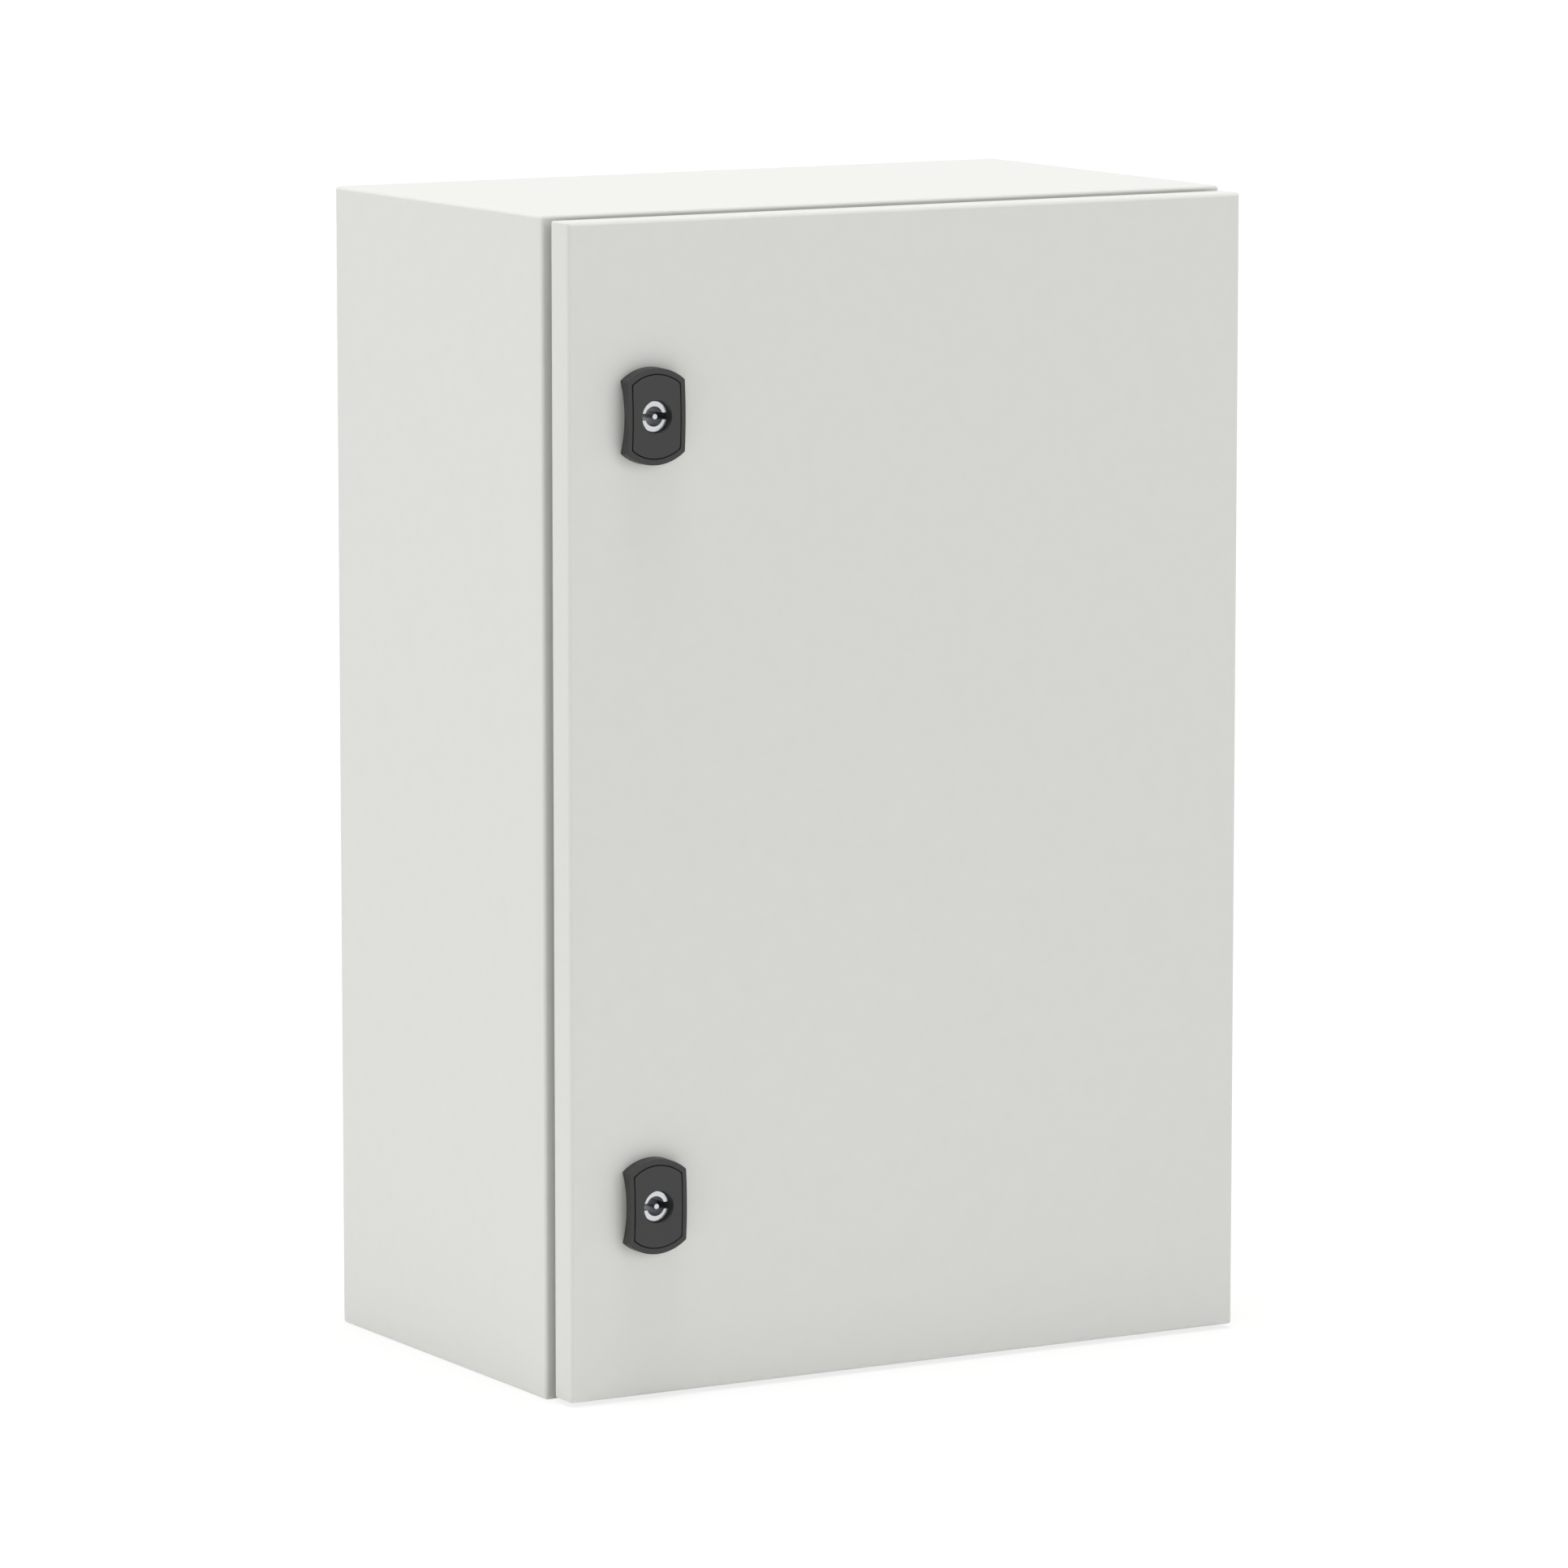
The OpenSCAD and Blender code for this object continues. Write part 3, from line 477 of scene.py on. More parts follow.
def solids_of(node):
    """The lowest and highest corners of each separate solid in a CAD node."""
    mesh = bmesh.new()
    mesh.from_mesh(frame["nodes"][node].data)
    bmesh.ops.remove_doubles(mesh, verts=mesh.verts, dist=CAD_NEAR)
    left, boxes = set(mesh.verts), []
    while left:
        reached = [left.pop()]
        for vert in reached:
            near = {edge.other_vert(vert) for edge in vert.link_edges} & left
            left -= near
            reached.extend(near)
        corners = [[vert.co[i] for vert in reached] for i in range(3)]
        boxes.append((Vector(map(min, corners)), Vector(map(max, corners))))
    mesh.free()
    return sorted(boxes, key=lambda box: tuple(round(value, 5) for value in box[0]))


# ---------- material tools ----------


def shades(tone, spread):
    """A tone a little darker and a little lighter, for the two ends of a ramp."""
    return [[min(1, part * factor) for part in tone] + [1] for factor in (1 - spread, 1 + spread)]


def node(tree, kind, links=None, ramp=(), **settings):
    """Adds a shader node: settings name its properties or inputs, links its inputs' sources."""
    added = tree.nodes.new(f"ShaderNode{kind}")
    for name, value in settings.items():
        if hasattr(added, name):
            setattr(added, name, value)
        else:
            added.inputs[name.replace("_", " ")].default_value = value
    for name, source in (links or {}).items():
        tree.links.new(getattr(source, "outputs", [source])[0], added.inputs[name])
    for i, tone in enumerate(ramp):
        added.color_ramp.elements[i].color = tone
    return added


def new_material(name):
    """An empty material, its node tree, and the Object coordinates for its patterns."""
    material = bpy.data.materials.new(name)
    material.use_nodes = True
    tree = material.node_tree
    tree.nodes.clear()
    return material, tree, node(tree, "TexCoord").outputs["Object"]


# ---------- finishes ----------


def powder_coat(tone, sheet):
    """Polyester powder coat on steel, sprayed and baked: a soft sheen over a shallow orange peel."""
    material, tree, place = new_material(f"polyester_powder_coat_{sheet}")
    mottle = node(
        tree, "TexNoise", {"Vector": place}, Scale=1 / (9 * MM), Detail=4.0, Roughness=0.6
    )
    paint = node(tree, "ValToRGB", {"Fac": mottle}, ramp=shades(tone, 0.02))
    sheen = node(tree, "MapRange", {"Value": mottle}, To_Min=0.42, To_Max=0.5)
    # Orange peel is 1 to 3 mm across; the grain under it is about 0.4 mm, drawn at 0.9 mm to show
    peel = node(tree, "TexNoise", {"Vector": place}, Scale=1 / (2.6 * MM))
    grain = node(tree, "TexNoise", {"Vector": place}, Scale=1 / (0.9 * MM))
    waves = node(tree, "Bump", {"Height": peel}, Distance=0.035 * MM)
    relief = node(tree, "Bump", {"Height": grain, "Normal": waves}, Distance=0.012 * MM)
    links = {"Base Color": paint, "Roughness": sheen, "Normal": relief}
    coat = node(tree, "BsdfPrincipled", links, Specular_IOR_Level=0.35)
    node(tree, "OutputMaterial", {"Surface": coat})
    return material


def galvanised_sheet(tone):
    """Hot-dip galvanised steel: flat zinc crystals, each at its own brightness, under a dull haze."""
    material, tree, place = new_material("galvanised_steel_spangled")
    # Spangle is 5 to 15 mm across
    spangle = node(tree, "TexVoronoi", {"Vector": place}, Scale=1 / (9 * MM))
    cell = node(tree, "SeparateColor", {"Color": spangle.outputs["Color"]})
    zinc = node(tree, "ValToRGB", {"Fac": cell}, ramp=shades(tone, 0.12))
    dull = node(tree, "MapRange", {"Value": cell}, To_Min=0.36, To_Max=0.56)
    haze = node(tree, "TexNoise", {"Vector": place}, Scale=1 / (30 * MM), Detail=5.0)
    relief = node(tree, "Bump", {"Height": haze}, Distance=0.05 * MM)
    links = {"Base Color": zinc, "Roughness": dull, "Normal": relief}
    metal = node(tree, "BsdfPrincipled", links, Metallic=1.0)
    node(tree, "OutputMaterial", {"Surface": metal})
    return material


def clouded(name, tone, spread, cloud, rough, grain, depth, **shader):
    """A skin whose tone drifts in patches over a grain; cloud, grain and depth are in millimetres."""
    material, tree, place = new_material(name)
    drift = node(tree, "TexNoise", {"Vector": place}, Scale=1 / (cloud * MM), Detail=3.0)
    skin = node(tree, "ValToRGB", {"Fac": drift}, ramp=shades(tone, spread))
    dull = node(tree, "MapRange", {"Value": drift}, To_Min=rough[0], To_Max=rough[1])
    bumps = node(tree, "TexNoise", {"Vector": place}, Scale=1 / (grain * MM))
    relief = node(tree, "Bump", {"Height": bumps}, Distance=depth * MM)
    links = {"Base Color": skin, "Roughness": dull, "Normal": relief}
    surface = node(tree, "BsdfPrincipled", links, **shader)
    node(tree, "OutputMaterial", {"Surface": surface})
    return material


def zinc_plate(tone):
    """Bright zinc plate, barrel plated: a cool, slightly cloudy metal with fine tumbling marks."""
    # Tumbling marks are about 0.1 mm, drawn at 0.6 mm to show
    return clouded(
        "bright_zinc_plate_barrelled", tone, spread=0.06, cloud=5, rough=(0.26, 0.4),
        grain=0.6, depth=0.01, Metallic=1.0,
    )


def zinc_casting(tone):
    """Die-cast zinc, tumbled: a satin grey skin with a sandy grain."""
    # The sandy grain is about 0.2 mm, drawn at 0.7 mm to show
    return clouded(
        "die_cast_zinc_tumbled", tone, spread=0.08, cloud=12, rough=(0.42, 0.58),
        grain=0.7, depth=0.04, Metallic=1.0,
    )


def nickel_insert(tone):
    """Nickel plate on a turned insert: bright, with a faint cloud and fine marks left by the tool."""
    # Turning marks are about 0.05 mm apart, drawn at 0.5 mm to show
    return clouded(
        "nickel_plate_turned", tone, spread=0.03, cloud=3, rough=(0.16, 0.28),
        grain=0.5, depth=0.006, Metallic=1.0,
    )


def painted_shade_bore(tone):
    """Painted shade inside the key bore: die-cast zinc given a darker, duller tone than the nickel insert,
    for the shade down the bore.
    """
    # The broach's chatter is about 0.2 mm, drawn at 0.6 mm to show
    return clouded(
        "die_cast_zinc_greased", tone, spread=0.1, cloud=3, rough=(0.34, 0.48),
        grain=0.6, depth=0.01, Metallic=1.0,
    )


def moulded_polyamide(tone):
    """Glass-filled polyamide from a spark-eroded mould: dark, even, with a fine matt grain."""
    # The eroded grain is about 0.05 mm, drawn at 0.5 mm to show
    return clouded(
        "polyamide_moulded_dark_grey", tone, spread=0.04, cloud=8, rough=(0.48, 0.58),
        grain=0.5, depth=0.02, Specular_IOR_Level=0.35,
    )


def seal_rubber(tone):
    """Black cellular seal rubber, cut from sheet: dull, with a dusty bloom."""
    # Its cells are about 0.3 mm, drawn at 0.8 mm to show
    return clouded(
        "seal_rubber_die_cut", tone, spread=0.25, cloud=6, rough=(0.7, 0.85),
        grain=0.8, depth=0.03, Specular_IOR_Level=0.3,
    )


def gasket_foam(tone):
    """Polyurethane foamed in place: a matt skin over fine bubbles, with a slow ripple from the nozzle."""
    material, tree, place = new_material("polyurethane_foamed_in_place")
    ripple = node(tree, "TexNoise", {"Vector": place}, Scale=1 / (14 * MM))
    foam = node(tree, "ValToRGB", {"Fac": ripple}, ramp=shades(tone, 0.15))
    # Bubbles are about 0.3 mm, drawn at 0.9 mm to show
    bubbles = node(tree, "TexVoronoi", {"Vector": place}, Scale=1 / (0.9 * MM))
    swell = node(tree, "Bump", {"Height": ripple}, Distance=0.4 * MM)
    relief = node(tree, "Bump", {"Height": bubbles, "Normal": swell}, Distance=0.06 * MM)
    links = {"Base Color": foam, "Normal": relief}
    skin = node(tree, "BsdfPrincipled", links, Roughness=0.82, Specular_IOR_Level=0.25)
    node(tree, "OutputMaterial", {"Surface": skin})
    return material


# What makes the finish of each material slot, its colour, and for paint the sheet that it coats
FINISHES = {
    "body_paint": (powder_coat, "paint", "body"),
    "door_paint": (powder_coat, "paint", "door"),
    "galvanised_sheet": (galvanised_sheet, "galvanised"),
    "zinc_plated_steel": (zinc_plate, "zinc"),
    "hinge_zinc": (zinc_casting, "casting"),
    "key_insert": (nickel_insert, "nickel"),
    # The key bore's darker finish is painted shade
    "key_bore": (painted_shade_bore, "bore"),
    "lock_plastic": (moulded_polyamide, "plastic"),
    "seal_rubber": (seal_rubber, "rubber"),
    "gasket_foam": (gasket_foam, "foam"),
}


@functools.cache
def finish(slot):
    """The finish of a material slot, made the first time it is asked for."""
    maker, tone, *rest = FINISHES[slot]
    return maker(getattr(bpy.context.scene.cabinet.colours, tone), *rest)


# ---------- body ----------


def rounded_prism(name, low, high, radius, axis):
    """A box whose four edges along axis are round."""
    obj = add_box(name, low, high)
    bevel(obj, along(axis), radius, 8)
    return obj


def barrel_cutter(centre, front, back, lock):
    """A rod with two flats, between two places along Y, that leaves clearance round a lock's barrel."""
    start = Vector((centre.x, front, centre.z))
    rod = add_rod("cutter", start, Y, back - front, lock.barrel_d / 2 + lock.hole_gap)
    cut_flats(rod, start, lock.barrel_flats + lock.hole_gap)
    return rod


class CABINET_OT_body_shell(Operator):
    """Folds the body: sides, top, floor, front flange and sealing neck in one sheet"""

    bl_idname = "cabinet.body_shell"
    bl_label = "Body Shell"

    def execute(self, context):
        settings = context.scene.cabinet
        sheet = settings.sheet
        low, high = Vector((BODY_LOW.x, FLANGE_Y, BODY_LOW.z)), BODY_HIGH
        shell = add_box("body_shell", low, high)
        select(shell, "FACE", facing(Y))
        bpy.ops.mesh.delete(type="FACE")
        select(shell, "FACE", facing(-Y))
        bpy.ops.mesh.inset(thickness=sheet.flange)
        extrude(BODY_LOW.y - FLANGE_Y)
        bpy.ops.mesh.delete(type="FACE")
        done()

        inside, margin = high.x - sheet.body_bend - MM, sheet.flange / 2

        def outer(vert):
            return abs(abs(vert.co.x) - high.x) < MM and min(vert.co.z - low.z, high.z - vert.co.z) < MM

        def inner(vert):
            return abs(vert.co.x) < inside and low.z + margin < vert.co.z < high.z - margin

        # The sheet's own rims aren't bends
        def fold(side, rim):
            return lambda edge: all(map(side, edge.verts)) and not rim(edge)

        bevel(shell, fold(outer, at(Y, high.y)), sheet.body_bend, 8, clamp_overlap=False)
        bevel(shell, fold(inner, at(Y, BODY_LOW.y)), sheet.inner_bend, 5, clamp_overlap=False)
        apply_modifier(shell, "SOLIDIFY", thickness=sheet.thickness, offset=-1, use_even_offset=True)
        gland_low, gland_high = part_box("gland_gasket")
        lap = Vector((sheet.gland_lap, sheet.gland_lap, 0))
        under = gland_low + lap - 2 * sheet.thickness * Z
        combine(shell, rounded_prism("cutter", under, gland_high - lap, sheet.gland_corner, Z))
        for screw_low, screw_high in solids_of("bracket_screws"):
            middle = (screw_low + screw_high) / 2
            start = (middle.x, FLANGE_Y - MM, middle.z)
            drill(shell, start, Y, sheet.thickness + 2 * MM, sheet.bracket_hole, vertices=32)
        round_edges(shell, settings.edges.painted)
        smooth(shell)
        dress(shell, finish("body_paint"), "cabinet", "body_wrap")
        return {"FINISHED"}


# ---------- door ----------


class CABINET_OT_door_skin(Operator):
    """Folds the door: a pan with a rim and a return, holes for the locks and notches at the hinges"""

    bl_idname = "cabinet.door_skin"
    bl_label = "Door Skin"

    def execute(self, context):
        settings = context.scene.cabinet
        sheet, lock = settings.sheet, settings.lock
        skin = add_box("door_skin", DOOR_LOW, DOOR_HIGH)
        select(skin, "FACE", facing(Y))
        bpy.ops.mesh.inset(thickness=sheet.door_return)
        bpy.ops.mesh.delete(type="FACE")
        done()

        def outer(edge):
            return all(abs(vert.co.x) > DOOR_HIGH.x - MM or
                       min(vert.co.z - DOOR_LOW.z, DOOR_HIGH.z - vert.co.z) < MM for vert in edge.verts)

        # The pan's corners fold to half the bends' radius
        for weight, axes in ((1.0, (X, Z)), (0.5, (Y,))):
            select(skin, "EDGE", lambda edge: outer(edge) and any(along(axis)(edge) for axis in axes))
            bpy.ops.transform.edge_bevelweight(value=weight)
            done()
        apply_modifier(skin, "BEVEL", width=sheet.door_bend, segments=8, limit_method="WEIGHT")
        apply_modifier(skin, "SOLIDIFY", thickness=sheet.thickness, offset=-1, use_even_offset=True)
        for end, centre in LOCK_AXES.items():
            combine(skin, barrel_cutter(centre, DOOR_LOW.y - MM, DOOR_LOW.y + sheet.thickness + MM, lock))
            foot_low, foot_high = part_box(f"hinge_bracket_{end}")
            inner, depth = DOOR_HIGH.x - sheet.door_return - MM, DOOR_HIGH.y - sheet.notch
            combine(skin, add_box(
                "cutter", (inner, depth, foot_low.z - sheet.notch_past),
                (DOOR_HIGH.x + MM, DOOR_HIGH.y + MM, foot_high.z + sheet.notch_past),
            ))
        round_edges(skin, settings.edges.painted)
        mend(skin)
        smooth(skin)
        dress(skin, finish("door_paint"), "door", "door_panel")
        return {"FINISHED"}


def bead_profile(sizes):
    """Steps over the bead's back, across and up: a round shoulder, the pressed line, a round shoulder."""
    turns = [radians(15 * i) for i in range(7)]
    rising = [
        (sizes.dome * (cos(a) - cos(b)), sizes.dome * (sin(b) - sin(a)))
        for a, b in zip(turns, turns[1:])
    ]
    slope = (sizes.width - 2 * sizes.dome) / 2
    falling = [(across, -rise) for across, rise in reversed(rising)]
    return [*rising, (slope, -sizes.dent), (slope, sizes.dent), *falling]


class CABINET_OT_door_gasket(Operator):
    """Foams the door's gasket: a domed bead with the line that the neck has pressed in"""

    bl_idname = "cabinet.door_gasket"
    bl_label = "Door Gasket"

    def execute(self, context):
        sizes = context.scene.cabinet.gasket
        low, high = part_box("door_gasket")
        bead = rounded_prism("gasket_bead", low, high, sizes.corner + sizes.width, Y)
        select(bead, "FACE", facing(Y))
        bpy.ops.transform.translate(value=(0, -sizes.dome, 0))
        for across, rise in bead_profile(sizes):
            bpy.ops.mesh.inset(thickness=across, depth=rise)
        extrude(low.y + sizes.dome - high.y)
        bpy.ops.mesh.delete(type="FACE")
        done()
        select(bead, "FACE", facing(-Y))
        bpy.ops.mesh.delete(type="FACE")
        done()
        select(bead, "EDGE", lambda edge: edge.is_boundary)
        bpy.ops.mesh.bridge_edge_loops()
        bpy.ops.mesh.select_all(action="SELECT")
        bpy.ops.mesh.normals_make_consistent(inside=False)
        done()
        smooth(bead, angle=50)
        dress(bead, finish("gasket_foam"), "door", "door_gasket")
        return {"FINISHED"}


class CABINET_OT_door_rails(Operator):
    """Folds the door's two stiffening rails, each with a row of holes through both legs"""

    bl_idname = "cabinet.door_rails"
    bl_label = "Door Rails"

    def execute(self, context):
        settings = context.scene.cabinet
        sheet = settings.sheet
        low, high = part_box("door_rail_left")
        rail = add_box("rail_left", low, high)
        select(rail, "FACE", lambda face: facing(Y)(face) or abs(face.normal.z) > PARALLEL)
        bpy.ops.mesh.delete(type="FACE")
        bevel(rail, lambda edge: along(Z)(edge) and at(Y, low.y)(edge), sheet.rail_bend, 6)
        apply_modifier(rail, "SOLIDIFY", thickness=sheet.thickness, offset=-1, use_even_offset=True)
        count = int((high.z - low.z) / sheet.rail_pitch) - 1
        leg_middle = (low.y + sheet.thickness + high.y) / 2
        for i in range(count + 1):
            height = (low.z + high.z) / 2 + (i - count / 2) * sheet.rail_pitch
            start, reach = (low.x - MM, leg_middle, height), high.x - low.x + 2 * MM
            drill(rail, start, X, reach, sheet.rail_hole, vertices=26)
        middle = (low.x + high.x) / 2
        for stud_low, stud_high in solids_of("rail_studs"):
            centre = (stud_low + stud_high) / 2
            if centre.x < 0:
                start = (middle, low.y - MM, centre.z)
                drill(rail, start, Y, sheet.thickness + 2 * MM, sheet.rail_screw_hole, vertices=32)
        mend(rail, distance=0.08 * MM)
        round_edges(rail, settings.edges.sheared, segments=1)
        smooth(rail)
        twin = copy_to(rail, "rail_right", X * (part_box("door_rail_right")[0].x - low.x))
        dress(rail, finish("galvanised_sheet"), "door", "door_rail_left")
        dress(twin, finish("galvanised_sheet"), "door", "door_rail_right")
        return {"FINISHED"}


# ---------- locks ----------


def on_lock(depth):
    """The point on the upper lock's axis at this place along Y."""
    return Vector((LOCK_CENTRE.x, depth, LOCK_CENTRE.z))


def plate_blank(name, back, front, radius, width, corner):
    """A disc with two straight sides and round corners, between two heights above the door."""
    start = on_lock(DOOR_LOW.y - back)
    blank = add_rod(name, start, -Y, front - back, radius, vertices=144)
    cut_flats(blank, start, width)
    # Its corners are far sharper than the steps between the round ends' facets
    bevel(blank, lambda edge: along(Y)(edge) and edge.calc_face_angle(0) > radians(25), corner, 5)
    return blank


def crown(piece, lock, rounding):
    """Rounds a lock piece's front rims, then bends its front to the arch that plate and cover share."""
    front = DOOR_LOW.y - lock.crown
    round_rims(piece, front, rounding)
    drop = lock.crown - lock.end_height
    radius = (lock.plate_r**2 + drop**2) / (2 * drop)
    count = ceil(lock.plate_r / lock.arch_step)
    for i in range(-count, count):
        open_mesh(piece)
        bpy.ops.mesh.bisect(plane_co=LOCK_CENTRE + Z * (i + 0.5) * lock.arch_step, plane_no=Z)
    bpy.ops.mesh.select_all(action="SELECT")
    bpy.ops.mesh.remove_doubles(threshold=NEAR)
    done()
    select(piece, "EDGE", lambda edge: all(vert.co.y < front + rounding + NEAR for vert in edge.verts))
    bpy.ops.object.vertex_group_assign_new()
    done()
    bpy.ops.object.empty_add(location=on_lock(front))
    middle = bpy.context.object
    apply_modifier(
        piece, "SIMPLE_DEFORM", deform_method="BEND", deform_axis="X", origin=middle,
        angle=piece.dimensions.z / radius, vertex_group=piece.vertex_groups[0].name,
    )
    piece.vertex_groups.clear()
    bpy.data.objects.remove(middle)


class CABINET_OT_lock_plates(Operator):
    """Moulds the lock plates: round ends, hollow sides, an arched face and a pocket for the cover"""

    bl_idname = "cabinet.lock_plates"
    bl_label = "Lock Plates"

    def execute(self, context):
        lock = context.scene.cabinet.lock
        plate = plate_blank(
            "lock_plate_upper", 0, lock.crown, lock.plate_r, lock.plate_w, lock.plate_corner
        )
        scoop_top = lock.crown - lock.scoop_end
        slope = lock.scoop / scoop_top
        for side in (-1, 1):
            aside = side * (lock.plate_w / 2 - lock.scoop + lock.scoop_r)
            combine(plate, add_rod(
                "cutter", on_lock(DOOR_LOW.y + MM) + X * aside, -Y, scoop_top + 2 * MM,
                lock.scoop_r + MM * slope, lock.scoop_r - lock.scoop - MM * slope, vertices=240,
            ))
        corner = lock.cover_corner + lock.joint / 2
        combine(plate, plate_blank(
            "cutter", lock.floor, 2 * lock.crown, lock.cover_r, lock.cover_w, corner
        ))
        combine(plate, barrel_cutter(LOCK_CENTRE, DOOR_LOW.y - lock.crown, DOOR_LOW.y + MM, lock))
        crown(plate, lock, lock.soft_edge)
        smooth(plate, angle=30)
        dress_pair(plate, finish("lock_plastic"), "escutcheon")
        return {"FINISHED"}


class CABINET_OT_lock_covers(Operator):
    """Moulds the covers set in the lock plates, each with a round recess over the key insert"""

    bl_idname = "cabinet.lock_covers"
    bl_label = "Lock Covers"

    def execute(self, context):
        lock = context.scene.cabinet.lock
        cover = plate_blank(
            "cover_upper", lock.cover_floor, lock.crown,
            lock.cover_r - lock.joint, lock.cover_w - 2 * lock.joint, lock.cover_corner,
        )
        drill(cover, on_lock(DOOR_LOW.y), -Y, 2 * lock.crown, lock.recess_d)
        crown(cover, lock, lock.fine_edge)
        smooth(cover, angle=30)
        dress_pair(cover, finish("lock_plastic"), "lock_cover")
        return {"FINISHED"}


def darken_bore(insert, centre, lock):
    """Gives the key bore, its slots and its floor their own finish, a darker tone that is painted shade,
    all round the pin.
    """
    ring = DOOR_LOW.y - lock.insert_front

    def bored(face):
        middle = face.calc_center_median()
        depth, reach = middle.y - ring, (middle - centre).xz.length
        walls = lock.pin_d / 2 + lock.insert_gap < reach < lock.insert_d / 2 - lock.insert_gap
        return lock.turned_edge < depth < lock.bore_l + lock.insert_gap and (walls or facing(-Y)(face))

    insert.data.materials.append(finish("key_bore"))
    select(insert, "FACE", bored)
    insert.active_material_index = 1
    bpy.ops.object.material_slot_assign()
    done()


class CABINET_OT_key_inserts(Operator):
    """Turns the key inserts: a slotted ring round a bore with a pin, a shaft and a square"""

    bl_idname = "cabinet.key_inserts"
    bl_label = "Key Inserts"

    def execute(self, context):
        lock = context.scene.cabinet.lock
        face = on_lock(DOOR_LOW.y - lock.insert_front)
        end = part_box("lock_rotor_upper")[1].y
        insert = add_rod("insert_upper", face, Y, lock.insert_l, lock.insert_d / 2)
        select(insert, "FACE", facing(-Y))
        bpy.ops.mesh.inset(thickness=(lock.insert_d - lock.bore_d) / 2)
        extrude(lock.bore_l)
        done()
        for side in (-1, 1):
            inner = face + Vector((side * (lock.pin_d / 2 + MM), -MM, -lock.slot / 2))
            outer = face + Vector((side * lock.insert_d, lock.bore_l, lock.slot / 2))
            combine(insert, add_box("cutter", inner, outer))
        round_rims(insert, face.y, lock.turned_edge)
        back = face + Y * lock.insert_l
        shaft = add_rod("cutter", back - Y * MM, Y, end - lock.cam_t - back.y + MM, lock.shaft_d / 2)
        combine(insert, shaft, "UNION")
        half = lock.square / 2
        combine(insert, add_box(
            "cutter", (face.x - half, end - lock.cam_t - MM, face.z - half),
            (face.x + half, end, face.z + half),
        ), "UNION")
        tip = face - Y * lock.pin_proud
        pin = add_rod("cutter", tip, Y, lock.bore_l + lock.pin_proud + MM, lock.pin_d / 2, vertices=48)
        round_rims(pin, tip.y, lock.turned_edge)
        combine(insert, pin, "UNION")
        mend(insert)
        smooth(insert, angle=30)
        both = dress_pair(insert, finish("key_insert"), "lock_rotor", bodies=("lock_upper", "lock_lower"))
        for end, piece in zip(ENDS, both):
            darken_bore(piece, LOCK_AXES[end], lock)
        return {"FINISHED"}


# ---------- threaded parts ----------


# A thread's depth, its crest's width, and where its foot is cut, clear of its own points, in pitches
THREAD_DEPTH, THREAD_CREST, THREAD_FOOT = 0.54, 0.12, 1.013


def threaded_rod(name, start, axis, height, radius, pitch, steps=24):
    """A rod with a real helical thread: one groove, turned up by a Screw modifier and cut to length."""
    depth = THREAD_DEPTH * pitch
    bpy.ops.mesh.primitive_plane_add(
        size=1, location=(radius - depth / 2, 0, pitch / 2), rotation=(pi / 2, 0, 0)
    )
    rod = named(name)
    rod.scale = (depth, pitch, 1)
    settle(rod)
    select(rod, "EDGE", at(X, radius))
    bpy.ops.transform.resize(value=(1, 1, THREAD_CREST), orient_type="GLOBAL")
    done()
    select(rod, "EDGE", at(X, radius - depth))
    bpy.ops.mesh.delete(type="EDGE")
    done()
    turns = ceil(height / pitch) + 2
    apply_modifier(
        rod, "SCREW", screw_offset=pitch, iterations=turns, steps=steps, render_steps=steps,
        use_merge_vertices=True, merge_threshold=CUT_NEAR, use_smooth_shade=False,
    )
    foot = THREAD_FOOT * pitch
    for place, outward in ((foot, -Z), (foot + height, Z)):
        cut_plane(rod, Z * place, outward)
    mend(rod)
    rod.location = -Z * foot
    settle(rod)
    rod.rotation_euler = axis.to_track_quat("Z", "Y").to_euler()
    rod.location = start
    return settle(rod)


STUD_PITCHES = {
    "plate_studs": 1.25, "gland_studs": 0.8, "body_earth_stud": 1.0, "door_earth_stud": 1.0,
    "rail_studs": 0.8, "leaf_studs": 0.7,
}


class CABINET_OT_threaded_studs(Operator):
    """Threads the welded studs that hold the plates, rails, hinge leaves and earth lugs"""

    bl_idname = "cabinet.threaded_studs"
    bl_label = "Threaded Studs"

    def execute(self, context):
        for stud, pitch in STUD_PITCHES.items():
            rods = []
            for low, high in solids_of(stud):
                size = high - low
                i = max(range(3), key=lambda n: size[n])
                axis = (X, Y, Z)[i]
                start = (low + high) / 2 - axis * size[i] / 2
                rods.append(threaded_rod(f"{stud}_rod", start, axis, size[i], min(size) / 2, pitch * MM))
            pick_object(rods[0])
            for rod in rods:
                rod.select_set(True)
            bpy.ops.object.join()
            threaded = named(f"{stud}_threaded")
            smooth(threaded)
            dress(threaded, finish("zinc_plated_steel"), frame["nodes"][stud]["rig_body"], stud)
        return {"FINISHED"}


